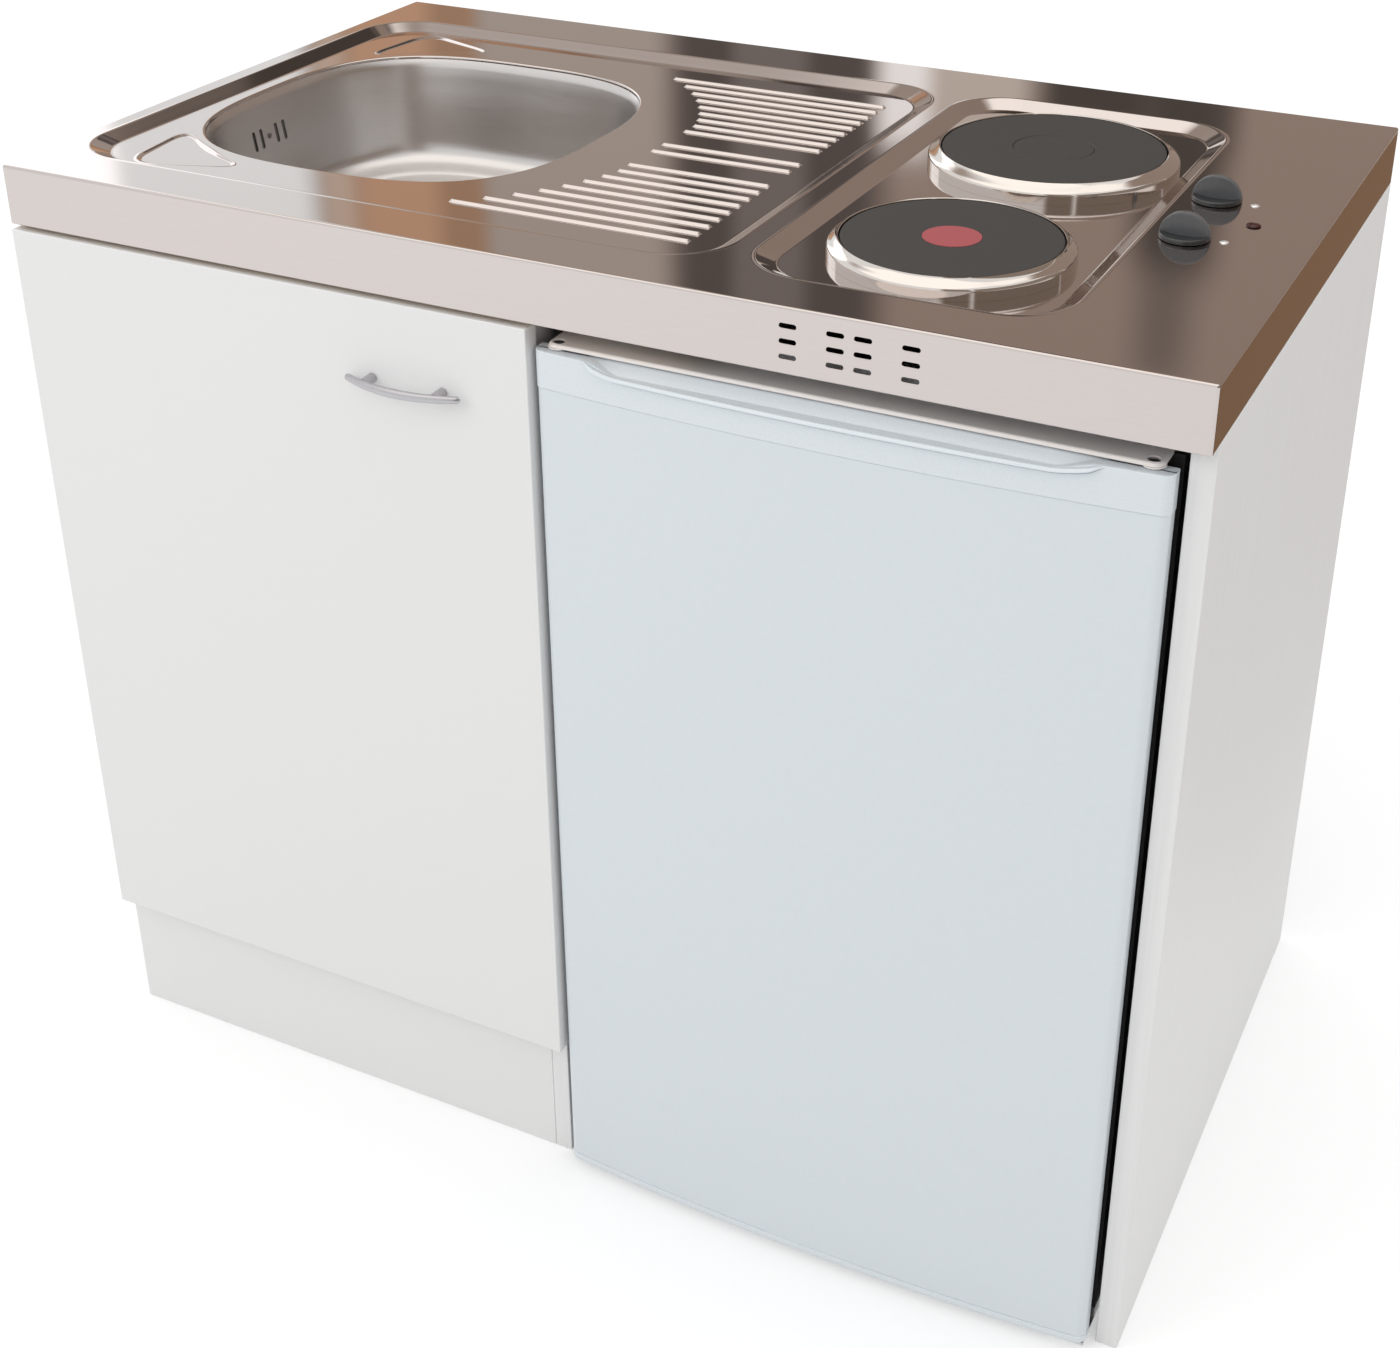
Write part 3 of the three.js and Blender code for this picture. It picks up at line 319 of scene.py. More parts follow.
# The values of each look in the order that surface takes them.
LOOK_VALUES = {
    "polished_steel": (STEEL, 0.06, 1.0, (30, 900, 900), 0.012, 0.12, 0.0008, (5, 0.2)),
    "satin_steel": ((0.63, 0.61, 0.60), 0.30, 1.0, (40, 40, 1500), 0.02, 0.08, 0.0001),
    "traverse_steel": ((0.86, 0.81, 0.78), 0.40, 0.1, (12, 1500, 1500), 0.02, 0.1, 0.002),
    "ring_steel": ((0.68, 0.635, 0.60), 0.08, 1.0, 300, 0.01, 0.1, 0.0006),
    "white_board": (BOARD_WHITE, 0.48, 0, 900, 0.01, 0.12, 0.02),
    "panel_board": (BOARD_WHITE, 0.50, 0, (260, 260, 5), 0.022, 0.12, 0.02),
    "raw_timber": ((0.58, 0.42, 0.25), 0.75, 0, (9, 220, 220), 0.25, 0.1, 0.15),
    "cast_iron": ((0.044, 0.040, 0.037), 0.62, 0.1, 1600, 0.18, 0.12, 0.03),
    "red_enamel": ((0.385, 0.064, 0.072), 0.55, 0, 1200, 0.06, 0.1, 0.01),
    "knob_plastic": ((0.085, 0.088, 0.092), 0.30, 0, 2500, 0.05, 0.12, 0.006, None,
                     {"Specular IOR Level": 0.8}),
    # Painted shade and reflection: the skirt is a darker copy of the knob plastic, so that its dished top
    # reads dark.
    "skirt_plastic_painted_shade": ((0.022, 0.023, 0.024), 0.24, 0, 2500, 0.05, 0.12, 0.006, None,
                      {"Specular IOR Level": 0.7}),
    "lamp_plastic": ((0.04, 0.004, 0.004), 0.08, 0, 200, 0.1, 0.1, 0.001),
    "grey_rubber": ((0.11, 0.10, 0.096), 0.65, 0, 800, 0.05, 0.1, 0.01),
    "bright_dot": ((0.86, 0.85, 0.84), 0.15, 0.6, 300, 0.02, 0.1, 0.001),
    "switch_plastic": ((0.03, 0.03, 0.03), 0.5, 0, 900, 0.08, 0.1, 0.02),
    "zinc_steel": ((0.58, 0.59, 0.60), 0.36, 1.0, 60, 0.12, 0.25, 0.01),
    "handle_metal": ((0.50, 0.49, 0.51), 0.30, 0.95, (40, 1800, 1800), 0.04, 0.12, 0.002),
    "door_white": ((0.715, 0.765, 0.80), 0.34, 0, 240, 0.008, 0.1, 0.012),
    "cap_white": ((0.74, 0.79, 0.825), 0.28, 0, 1400, 0.008, 0.1, 0.006),
    "liner_white": ((0.84, 0.86, 0.87), 0.38, 0, 500, 0.01, 0.1, 0.02),
    # Black paint of the condenser and compressor; on the fridge casing and in the hinge holes the black is
    # painted shade.
    "black_paint": ((0.010, 0.010, 0.010), 0.55, 0, 700, 0.2, 0.15, 0.03),
    "foot_plastic": ((0.02, 0.02, 0.02), 0.6, 0, 900, 0.1, 0.1, 0.02),
    "seal_rubber": ((0.50, 0.52, 0.54), 0.7, 0, 800, 0.05, 0.1, 0.02),
    "waste_plastic": ((0.80, 0.80, 0.78), 0.42, 0, 400, 0.02, 0.1, 0.02),
    "shelf_glass": ((0.86, 0.95, 0.92), 0.05, 0, 30, 0.01, 0.1, 0.001, None, GLASS),
    "clear_plastic": ((0.88, 0.93, 0.94), 0.14, 0, 60, 0.01, 0.1, 0.004, None, ACRYLIC),
}
LOOKS = {name: surface(name, *values) for name, values in LOOK_VALUES.items()}

# ---- meshes -------------------------------------------------------------------------

WELD = 1e-6  # metres within which points become one


class Shell:
    """Points in millimetres from the unit's corner, and the faces between them."""

    def __init__(self):
        self.points = []
        self.faces = []

    def ring(self, points):
        start = len(self.points)
        self.points.extend(points)
        return list(range(start, len(self.points)))

    def bridge(self, a, b, closed=True, skip=()):
        count = len(a)
        for i in range(count if closed else count - 1):
            if i not in skip:
                j = (i + 1) % count
                self.faces.append((a[i], a[j], b[j], b[i]))

    def stack(self, rings, closed=True):
        """Bridges each ring of points to the next, and returns the rings' numbers."""
        numbered = [self.ring(points) for points in rings]
        for a, b in zip(numbered, numbered[1:]):
            self.bridge(a, b, closed)
        return numbered

    def fill(self, outer, *holes):
        loops = [outer, *holes]
        flat = [i for loop in loops for i in loop]
        outlines = [[Vector(self.points[i]) for i in loop] for loop in loops]
        for triangle in tessellate_polygon(outlines):
            self.faces.append(tuple(flat[k] for k in triangle))

    def solid(self, rings, closed=True):
        """Stacks rings and fills the first and the last."""
        numbered = self.stack(rings, closed)
        self.fill(numbered[0])
        self.fill(numbered[-1])
        return numbered

    def pocket(self, rings):
        """Stacks rings, fills the last and returns the first."""
        numbered = self.stack(rings)
        self.fill(numbered[-1])
        return numbered[0]

    def add(self, other):
        start = len(self.points)
        self.points.extend(other.points)
        self.faces.extend(tuple(start + i for i in face) for face in other.faces)


def to_mesh(name, shell):
    mesh = bpy.data.meshes.new(name)
    mesh.from_pydata([CORNER + Vector(p) * MM for p in shell.points], [], shell.faces)
    work = bmesh.new()
    work.from_mesh(mesh)
    bmesh.ops.remove_doubles(work, verts=work.verts, dist=WELD)
    bmesh.ops.recalc_face_normals(work, faces=work.faces)
    work.to_mesh(mesh)
    work.free()
    return mesh


def place(name, shape, look, node=None, body="unit", smooth=32, bevel=0.0):
    """Links a shell or a mesh as a piece; given a node, the piece stands for it and the node's solid is
    hidden.
    """
    mesh = to_mesh(name, shape) if isinstance(shape, Shell) else shape
    mesh.materials.append(LOOKS[look])
    mesh.shade_smooth()
    mesh.set_sharp_from_angle(angle=radians(smooth))
    thing = bpy.data.objects.new(name, mesh)
    bpy.context.scene.collection.objects.link(thing)
    if bevel:
        edge = thing.modifiers.new("edge", "BEVEL")
        edge.width = bevel * MM
        edge.segments = 3
        edge.limit_method = "ANGLE"
        edge.angle_limit = radians(45)
        edge.use_clamp_overlap = True
    level = thing.modifiers.new("level", "WEIGHTED_NORMAL")
    level.keep_sharp = True
    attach(thing, body)
    if node:
        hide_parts(node)
    return thing


def cut(thing, shell):
    """Takes the shape of a closed shell out of a piece."""
    tool = bpy.data.objects.new("tool", to_mesh("tool", shell))
    bpy.context.scene.collection.objects.link(tool)
    step = thing.modifiers.new("cut", "BOOLEAN")
    step.object = tool
    step.solver = "EXACT"
    thing.modifiers.move(len(thing.modifiers) - 1, 0)
    others = [(m, m.show_viewport) for m in thing.modifiers if m != step]
    for modifier, _ in others:
        modifier.show_viewport = False
    graph = bpy.context.evaluated_depsgraph_get()
    done = bpy.data.meshes.new_from_object(thing.evaluated_get(graph), depsgraph=graph)
    for modifier, shown in others:
        modifier.show_viewport = shown
    thing.modifiers.remove(step)
    old, thing.data = thing.data, done
    bpy.data.meshes.remove(old)
    bpy.data.objects.remove(tool)


def refine(look, bevel, *nodes, body="unit"):
    """Pieces from solids' own meshes, with flat faces joined up and edges eased."""
    for node in nodes:
        name = f"{node}_piece"
        mesh = bpy.data.meshes.new(name)
        work = bmesh.new()
        work.from_mesh(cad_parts[node].data)
        bmesh.ops.remove_doubles(work, verts=work.verts, dist=WELD)
        flat = radians(1)
        bmesh.ops.dissolve_limit(work, angle_limit=flat, verts=work.verts, edges=work.edges)
        work.to_mesh(mesh)
        work.free()
        place(name, mesh, look, node, body, bevel=bevel)


# ---- outlines -----------------------------------------------------------------------


def rounded_rectangle(x, y, r, steps=8):
    """Points of a rectangle with round corners, anticlockwise from its front right corner."""
    left, right, front, back = x[0] + r, x[1] - r, y[0] + r, y[1] - r
    points = []
    for quarter, (cx, cy) in enumerate(((right, front), (right, back), (left, back), (left, front))):
        for i in range(steps + 1):
            angle = radians(90 * (quarter - 1) + 90 * i / steps)
            points.append((cx + r * cos(angle), cy + r * sin(angle)))
    return points


def capsule(x, y, half):
    """A rectangle with two round ends, for its half width."""
    return rounded_rectangle(x, y, half - 0.02, 5)


def circle(at, r, count=64):
    turn = 2 * pi / count
    return [(at[0] + r * cos(i * turn), at[1] + r * sin(i * turn)) for i in range(count)]


def rounded_polygon(corners, r, steps=8):
    """Points of a polygon whose corners are rounded off over r along each side."""
    points = []
    for i, corner in enumerate(corners):
        here = Vector(corner)
        before = here + (Vector(corners[i - 1]) - here).normalized() * r
        after = here + (Vector(corners[(i + 1) % len(corners)]) - here).normalized() * r
        for k in range(steps + 1):
            t = k / steps
            points.append(tuple((1 - t) ** 2 * before + 2 * t * (1 - t) * here + t * t * after))
    return points


def at_height(points, z):
    return [(x, y, z) for x, y in points]


def at_x(points, x):
    return [(x, y, z) for y, z in points]


def round_rings(profile, at, count=64):
    return [at_height(circle(at, r, count), z) for r, z in profile]


def moved(profile, out=0, up=0):
    """A profile's points (radius, height), moved outwards and up."""
    return [(r + out, z + up) for r, z in profile]


def thread(start, turns, pitch, turn):
    """Profile of a thread: the points of one turn, repeated upwards."""
    return [(r, start + i * pitch + up) for i in range(turns) for r, up in turn]


def closed(rings):
    shell = Shell()
    shell.solid(rings)
    return shell


def layered(levels):
    """A closed shell through outlines one above another: pairs of points (x, y) and height."""
    return closed([at_height(points, z) for points, z in levels])


def turned(profile, at, count=64):
    """A shell turned about the upright line through at; its profile ends on itself or the axis."""
    shell = Shell()
    rings = []
    for r, z in profile:
        if r < 1e-6:
            rings.append([shell.ring([(at[0], at[1], z)])[0]] * count)
        else:
            rings.append(shell.ring(at_height(circle(at, r, count), z)))
    for a, b in zip(rings, rings[1:]):
        for i in range(count):
            j = (i + 1) % count
            face = tuple(dict.fromkeys((a[i], a[j], b[j], b[i])))
            if len(face) > 2:
                shell.faces.append(face)
    return shell


def turned_along_y(profile, at, count=48):
    """A shell turned about a level line along y through at (x, z); the profile holds (r, y)."""
    shell = turned(profile, (0, 0), count)
    shell.points = [(at[0] + a, y, at[1] + b) for a, b, y in shell.points]
    return shell


def curve(points, steps=8):
    """A smooth path through points."""
    points = [Vector(p) for p in points]
    points = [2 * points[0] - points[1], *points, 2 * points[-1] - points[-2]]
    path = []
    for a, b, c, d in zip(points, points[1:], points[2:], points[3:]):
        for k in range(steps):
            t = k / steps
            path.append(((2 * b) + (c - a) * t + (2 * a - 5 * b + 4 * c - d) * t ** 2
                         + (3 * b - a - 3 * c + d) * t ** 3) / 2)
    return [*path, points[-2]]


def swept(path, radii, sides=14):
    """A round bar along a path, with a radius for each of its points."""
    path = [Vector(p) for p in path]
    side = (path[1] - path[0]).orthogonal()
    rings = []
    for i, (at, r) in enumerate(zip(path, radii)):
        along = (path[min(i + 1, len(path) - 1)] - path[max(i - 1, 0)]).normalized()
        side = (side - along * side.dot(along)).normalized()
        other = along.cross(side)
        rings.append([tuple(at + side * a + other * b) for a, b in circle((0, 0), r, sides)])
    return closed(rings)


def mix(a, b, t):
    return a + (b - a) * t


def smoothstep(low, high, value):
    t = min(max((value - low) / (high - low), 0), 1)
    return t * t * (3 - 2 * t)


# ---- worktop ------------------------------------------------------------------------

SHEET = 1.2
BAND = 0.9  # flats end in a narrow band of their own, so that their edges don't tint their shading
APRON = size(SHEET_Z)
RECESS_FLOOR = TOP - 7
SINK_RECESS = {"x": (17, 615), "y": (52.5, 535.5), "r": 52}
HOB_RECESS = {"x": (634, 878), "y": (51, 538), "r": 50}
DISH_CORNERS = [(61, 158), (108.7, 120.9), (166, 99), (72, 68)]
DISH_CENTRE = (99.7, 108.3)
DISH_CORNER_RADIUS = 28
DISH_REACH = 5  # how far the edge lies outside the corners
# Inset and drop of a dish's edge: a low ridge, a soft slope and the floor.
DISH_SECTION = [
    (-BAND, 0), (0, 0), (0.5, -0.06), (1.0, -0.2), (1.6, -0.28), (2.3, -0.2), (2.9, 0.02), (3.6, 0.3),
    (4.8, 0.75), (5.8, 1.02), (6.7, 1.15), (6.7 + BAND, 1.15),
]

BOWL_X, BOWL_Y = [middle(span) for span in extent("sink_bowl")[:2]]
BOWL_MOUTH = 172
BOWL_POWER = 2.9
MOUTH_WALL = 3.2  # polished height of the mouth above the weld
# Distance inside the mouth and drop below the recess floor of the bowl's rolled mouth.
ROLL = [
    (-2.2 - BAND, 0), (-2.2, 0), (-1.4, 0.1), (-0.75, 0.4), (-0.3, 0.85), (-0.08, 1.4), (0, 2.2),
    (0, MOUTH_WALL),
]

RIB = {"right": 575, "arc": 240.5, "leftmost": 230, "half": 2.75}
RIB_ROWS = {"inner": 9.8, "outer": 50, "pitch": 17.5, "count": 9}  # each way from the bowl's middle
RIB_SECTION = [
    (0.55 + BAND, 0.0), (0.55, 0.0), (0.12, 0.22), (-0.35, 0.9), (-0.95, 1.6), (-1.6, 2.05), (-2.2, 2.28),
]

VENT_COLUMNS = [702, 737.5, 758, 793]
VENT_DROPS = [14, 25.5, 37]
VENT_LENGTH = 13
VENT_HEIGHT = 3.5
# How far outside a vent's outline, and how deep in the apron.
VENT_SECTION = [(BAND, 0), (0.3, 0), (0, 0.3), (0, SHEET)]
PLATE_OVERLAP = 7  # how far a hotplate reaches past the hole below it

# Inset and drop of the sheet's fold, from its flat top over the edge and back up inside.
FOLD = [
    (2.2 + BAND, 0), (2.2, 0), (1.5, 0.08), (0.85, 0.35), (0.38, 0.8), (0.1, 1.35), (0, 2.1), (0, 2.1 + BAND),
    (0, APRON - 0.9 - BAND), (0, APRON - 0.9), (0.25, APRON - 0.25), (0.7, APRON), (SHEET, APRON - 0.6),
    (SHEET, 3.4),
]
FOLD_CORNER = 2.4
FOLD_FRONT = 7  # the stretch of FOLD that is the flat front
FOLD_INSIDE = len(FOLD) - 2

# Inset and drop from the top of a recess to its floor.
SLOPE = [
    (-1.9 - BAND, 0), (-1.9, 0), (-1.4, -0.06), (-0.9, -0.2), (-0.3, -0.28), (0.4, -0.2), (1.0, 0.06),
    (1.7, 0.4), (2.5, 0.85), (7.5, 3.5), (12.7, 6.25), (13.5, 6.7), (14.3, 6.95), (15, 7), (15 + BAND, 7),
]


def bowl_outline(radius, squareness=1.0, count=128):
    points = []
    for i in range(count):
        angle = 2 * pi * i / count
        c, s = cos(angle), sin(angle)
        reach = (abs(c) ** BOWL_POWER + abs(s) ** BOWL_POWER) ** (-1 / BOWL_POWER)
        r = radius * (1 + squareness * (reach - 1))
        points.append((BOWL_X + r * c, BOWL_Y + r * s))
    return points


def rib_offsets():
    outer = [RIB_ROWS["outer"] + RIB_ROWS["pitch"] * i for i in range(RIB_ROWS["count"])]
    return [side * offset for offset in [RIB_ROWS["inner"], *outer] for side in (-1, 1)]


def rib_outline(offset, by):
    reach = min(RIB["leftmost"], sqrt(RIB["arc"] ** 2 - offset ** 2))
    half = RIB["half"] + by
    return capsule(grown((BOWL_X + reach, RIB["right"]), by), about(BOWL_Y + offset, half), half)


def dish_outline(side, inset):
    """The dish's edge, drawn inset from its outermost line towards its centre."""
    centre = Vector(DISH_CENTRE)
    points = []
    for x, y in rounded_polygon(DISH_CORNERS, DISH_CORNER_RADIUS, 12):
        away = Vector((x, y)) - centre
        away *= 1 + (DISH_REACH - inset) / away.length
        points.append((centre.x + away.x, BOWL_Y + side * (centre.y + away.y - BOWL_Y)))
    return points


def recess_rings(shell, recess):
    """The first and last ring of a recess's slope."""
    rings = []
    for inset, drop in SLOPE:
        x, y, r = grown(recess["x"], -inset), grown(recess["y"], -inset), recess["r"] - inset * 0.6
        rings.append(at_height(rounded_rectangle(x, y, r, 14), TOP - drop))
    rings = shell.stack(rings)
    return rings[0], rings[-1]


def dish(shell, side):
    section = [(inset, RECESS_FLOOR - drop) for inset, drop in DISH_SECTION]
    return shell.pocket([at_height(dish_outline(side, inset), z) for inset, z in section])


def rib(shell, offset):
    return shell.pocket([at_height(rib_outline(offset, by), RECESS_FLOOR + up) for by, up in RIB_SECTION])


def vent(shell, x, drop):
    rings = []
    for by, y in VENT_SECTION:
        half = VENT_HEIGHT / 2 + by
        outline = capsule(about(x, VENT_LENGTH / 2 + by), about(TOP - drop, half), half)
        rings.append([(a, y, z) for a, z in outline])
    return shell.stack(rings)


def plate_hole(shell, plate):
    at, disc, _ = upright(f"{plate}_hotplate")
    radius = disc - PLATE_OVERLAP
    section = [(radius + BAND, RECESS_FLOOR), (radius, RECESS_FLOOR), (radius, RECESS_FLOOR - SHEET)]
    return shell.stack(round_rings(section, at))[0]


def sheet_fold(shell):
    """The folded edge with the vents in its front; returns the ring round the flat top."""
    folds = []
    for inset, drop in FOLD:
        x, y, r = grown((0, WIDTH), -inset), grown((0, DEPTH), -inset), max(FOLD_CORNER - inset, 0.2)
        folds.append(shell.ring(at_height(rounded_rectangle(x, y, r, 5), TOP - drop)))
    front = len(folds[0]) - 1
    for i, (a, b) in enumerate(zip(folds, folds[1:])):
        shell.bridge(a, b, skip=(front,) if i in (FOLD_FRONT, FOLD_INSIDE) else ())

    vents = [vent(shell, x, drop) for x in VENT_COLUMNS for drop in VENT_DROPS]
    for stretch, end in ((FOLD_FRONT, 0), (FOLD_INSIDE, -1)):
        upper, lower = folds[stretch], folds[stretch + 1]
        holes = [rings[end] for rings in vents]
        shell.fill([upper[front], upper[0], lower[0], lower[front]], *holes)
    return folds[0]


def add_worktop():
    shell = Shell()
    edge = sheet_fold(shell)
    sink_edge, sink_floor = recess_rings(shell, SINK_RECESS)
    hob_edge, hob_floor = recess_rings(shell, HOB_RECESS)
    shell.fill(edge, sink_edge, hob_edge)

    roll = [at_height(bowl_outline(BOWL_MOUTH - inset), RECESS_FLOOR - drop) for inset, drop in ROLL]
    mouth = shell.stack(roll)[0]
    ribs = [rib(shell, offset) for offset in rib_offsets()]
    shell.fill(sink_floor, mouth, *ribs, dish(shell, 1), dish(shell, -1))
    shell.fill(hob_floor, plate_hole(shell, "rear"), plate_hole(shell, "front"))
    place("worktop_piece", shell, "polished_steel", "worktop_sheet", smooth=60)


# ---- sink ---------------------------------------------------------------------------

BOWL_TOP = RECESS_FLOOR - MOUTH_WALL + 0.2
BOWL_SHEET = 0.9
BOWL_SECTION = [
    (171.9, BOWL_TOP), (171.0, BOWL_TOP - 1.6), (169.7, BOWL_TOP - 4.0), (168.4, BOWL_TOP - 7.5),
    (167.2, 842), (165.4, 832), (162.6, 815), (159.8, 797), (158.0, 785), (156.3, 777.5), (153.6, 771),
    (149.6, 766.6),
    (144.4, 764), (140, 762.9), (137.6, 762.4), (134.6, 761.6), (132.4, 759.8), (130, 758.4), (126, 757.7),
    (118, 757.0), (100, 755.6), (80, 754.2), (64, 753.1), (60.6, 752.4), (58.6, 751.0), (56.8, 750.2),
    (52, 749.8), (46, 749.5),
]
DRAIN_RADIUS = 46
OVERFLOW_Y, OVERFLOW_Z = 276, 824
OVERFLOW_OFFSETS = [-22, -11, 11, 22]
OVERFLOW_SLOT = (4.5, 18)
OVERFLOW_SCREW = 2.6
GASKET_LEAN = 0.16  # how far the gasket follows the slope of the wall


def bowl_rings(shell, outward):
    """Rings down the bowl's section, round at the drain and squarer towards the mouth."""
    rings = []
    for radius, z in BOWL_SECTION:
        square = smoothstep(DRAIN_RADIUS + 14, BOWL_MOUTH - 20, radius)
        rings.append(at_height(bowl_outline(radius + outward, square), z - outward))
    return shell.stack(rings)


def wall_at(z):
    """x of the inside of the bowl's left wall at a height."""
    for (r0, z0), (r1, z1) in zip(BOWL_SECTION, BOWL_SECTION[1:]):
        if z1 <= z <= z0:
            return BOWL_X - mix(r0, r1, (z0 - z) / (z0 - z1))
    return BOWL_X - BOWL_MOUTH


def overflow_cutter():
    cutter = Shell()
    width, height = OVERFLOW_SLOT
    for offset in OVERFLOW_OFFSETS:
        y, z = about(OVERFLOW_Y + offset, width / 2), about(OVERFLOW_Z, height / 2)
        outline = capsule(y, z, width / 2)
        cutter.solid([at_x(outline, x) for x in about(wall_at(OVERFLOW_Z), 5)])
    return cutter


def add_bowl():
    shell = Shell()
    inner = bowl_rings(shell, 0)
    outer = bowl_rings(shell, BOWL_SHEET)
    shell.bridge(inner[0], outer[0])
    shell.bridge(inner[-1], outer[-1])
    bowl = place("bowl_piece", shell, "satin_steel", "sink_bowl", smooth=50)
    cut(bowl, overflow_cutter())
    bowl.data.set_sharp_from_angle(angle=radians(50))


def add_overflow_trim():
    """The screw between the slots and the rubber behind them."""
    wall, r = wall_at(OVERFLOW_Z), OVERFLOW_SCREW
    head = turned([(0, -0.8), (r, -0.8), (r, 0.5), (r * 0.8, 0.9), (0, 1.0)], (0, 0), 24)
    head.points = [(wall + x, OVERFLOW_Y + y, OVERFLOW_Z + z) for y, z, x in head.points]
    place("overflow_screw", head, "grey_rubber")

    outline = rounded_rectangle(about(OVERFLOW_Y, 29), about(OVERFLOW_Z, 14), 6)
    layers = []
    for gap in (3.2, 1.6):
        layers.append([(wall - gap + (OVERFLOW_Z - z) * GASKET_LEAN, y, z) for y, z in outline])
    place("overflow_gasket", closed(layers), "grey_rubber")


# ---- waste --------------------------------------------------------------------------

CUP, OUTLET = 44, 20


def add_waste_body():
    at, flange, (end, top) = upright("waste_body")
    bottom = end + 20
    screw = thread(end + 2, 7, 2, [(OUTLET - 0.7, 0), (OUTLET, 0.6), (OUTLET, 0.9), (OUTLET - 0.7, 1.5)])
    profile = [
        (CUP - 1.5, top - 0.6), *moved([(-1.5, 6), (-4, 2), (-9, 0.6)], CUP, bottom),
        (OUTLET - 0.5, bottom), (OUTLET - 1.5, bottom - 1), (OUTLET - 1.5, end), (OUTLET - 0.4, end), *screw,
        (OUTLET, bottom - 2.6), (OUTLET + 1.5, bottom - 1.5),
        *moved([(-8, -0.9), (-2.5, 1.4), (0, 6)], CUP, bottom), (CUP, top - 2), (CUP + 0.8, top - 1.2),
        *moved([(-0.6, -1.2), (-0.1, -0.8), (-0.1, -0.4), (-0.6, -0.05)], flange, top),
        *moved([(0, -0.1), (-1.1, -0.25), (-1.5, -0.6)], CUP, top),
    ]
    place("waste_body_piece", turned(profile, at, 72), "satin_steel", "waste_body", smooth=40)


STRAINER_HOLE = 1.7
STRAINER_RINGS = ((11, 8), (18, 14), (26, 20))  # radius and number of the holes


def add_strainer():
    """A basket with a pierced floor and a post to lift it by."""
    at, rim, (low, high) = upright("sink_strainer")
    top, floor = high - 2.5, low + 2
    shell = Shell()
    wall = shell.stack(round_rings([
        (rim - 9, floor), (rim - 7.8, floor + 4),
        *moved([(-5.5, -8), (-3.4, 0.6), (-2.8, 1.3), (-0.6, 1.4)], rim, top),
        *moved([(-0.05, 1), (-0.8, 0), (-3, -8)], rim, top),
        *moved([(-6.2, 2.5), (-7, 0.6), (-8, 0)], rim, low),
    ], at, 72))
    post = shell.stack(round_rings([
        (3.6, floor), (2.7, floor + 1.2),
        *moved([(2.5, -5), (3.4, -3.2), (5.8, -2), (6.4, -0.8), (6.2, 0.9), (4.6, 2), (2, 2.45)], up=top),
    ], at, 24))
    holes = []
    for radius, count in STRAINER_RINGS:
        for centre in circle(at, radius, count):
            section = [(STRAINER_HOLE, floor), (STRAINER_HOLE, low)]
            holes.append(shell.stack(round_rings(section, centre, 10)))
    shell.fill(wall[0], post[0], *[upper for upper, _ in holes])
    shell.fill(wall[-1], *[lower for _, lower in holes])
    shell.fill(post[-1])
    place("strainer_piece", shell, "satin_steel", "sink_strainer", "strainer", smooth=40)


def nut(at, radius, z, lobes=12):
    """A hand nut with round lobes, between two heights."""
    def outline(inset):
        points = []
        for i in range(lobes * 8):
            angle = 2 * pi * i / (lobes * 8)
            r = radius - inset - 0.9 * (0.5 - 0.5 * cos(angle * lobes)) ** 2
            points.append((at[0] + r * cos(angle), at[1] + r * sin(angle)))
        return points
    lower = [(1.2, z[0]), (0.4, z[0] + 0.4), (0, z[0] + 1.2)]
    upper = [(0, z[1] - 1.2), (0.4, z[1] - 0.4), (1.2, z[1])]
    return layered([(outline(inset), height) for inset, height in lower + upper])


def add_trap():
    """The bottle trap with its two nuts and stub, and the pipe from the stub to the back."""
    x, y, (low, high) = extent("trap_body")
    pipe_x, (front, back), pipe_z = extent("trap_outlet_pipe")
    at, stub = (BOWL_X, BOWL_Y), (middle(pipe_x), middle(pipe_z))
    cup = size(x) / 2
    shell = turned([
        (0, low), *moved([(-5, 0), (-1.6, 1), (-0.2, 3.6), (-0.2, 6), (-2.5, 7)], cup, low),
        *moved([(-2.5, -47), (-3.6, -44.4), (-8, -41.2)], cup, high),
        *moved([(1, -36.6), (-1, -34), (-1, 0)], OUTLET, high), (0, high),
    ], at, 72)
    shell.add(nut(at, cup, (low + 6, low + 40), 18))
    shell.add(nut(at, OUTLET + 3, (high - 15.7, high)))
    neck = [(0, BOWL_Y + 28), (15, BOWL_Y + 28)]
    neck += moved([(15, -16), (16.6, -15), (17, -14), (17, -1), (16.6, 0), (0, 0)], up=y[1])
    shell.add(turned_along_y(neck, stub))
    place("trap_piece", shell, "waste_plastic", "trap_body", smooth=35)

    r = size(pipe_x) / 2
    pipe = [(r - 2.5, front), (r - 0.4, front), (r, front + 0.4), (r, back - 0.4), (r - 0.4, back),
            (r - 2.5, back), (r - 2.5, front)]
    pipe = turned_along_y(pipe, stub)
    place("outlet_pipe_piece", pipe, "waste_plastic", "trap_outlet_pipe", smooth=35)


# Inset of the overflow housing's box, and how far it stands behind the bowl's wall.
HOUSING_SECTION = [(2.2, 20), (0.7, 19.4), (0, 18), (0, 2.2), (0.4, 1.6)]
HOSE_RADIUS = 7.6
HOSE_RIB = 0.45


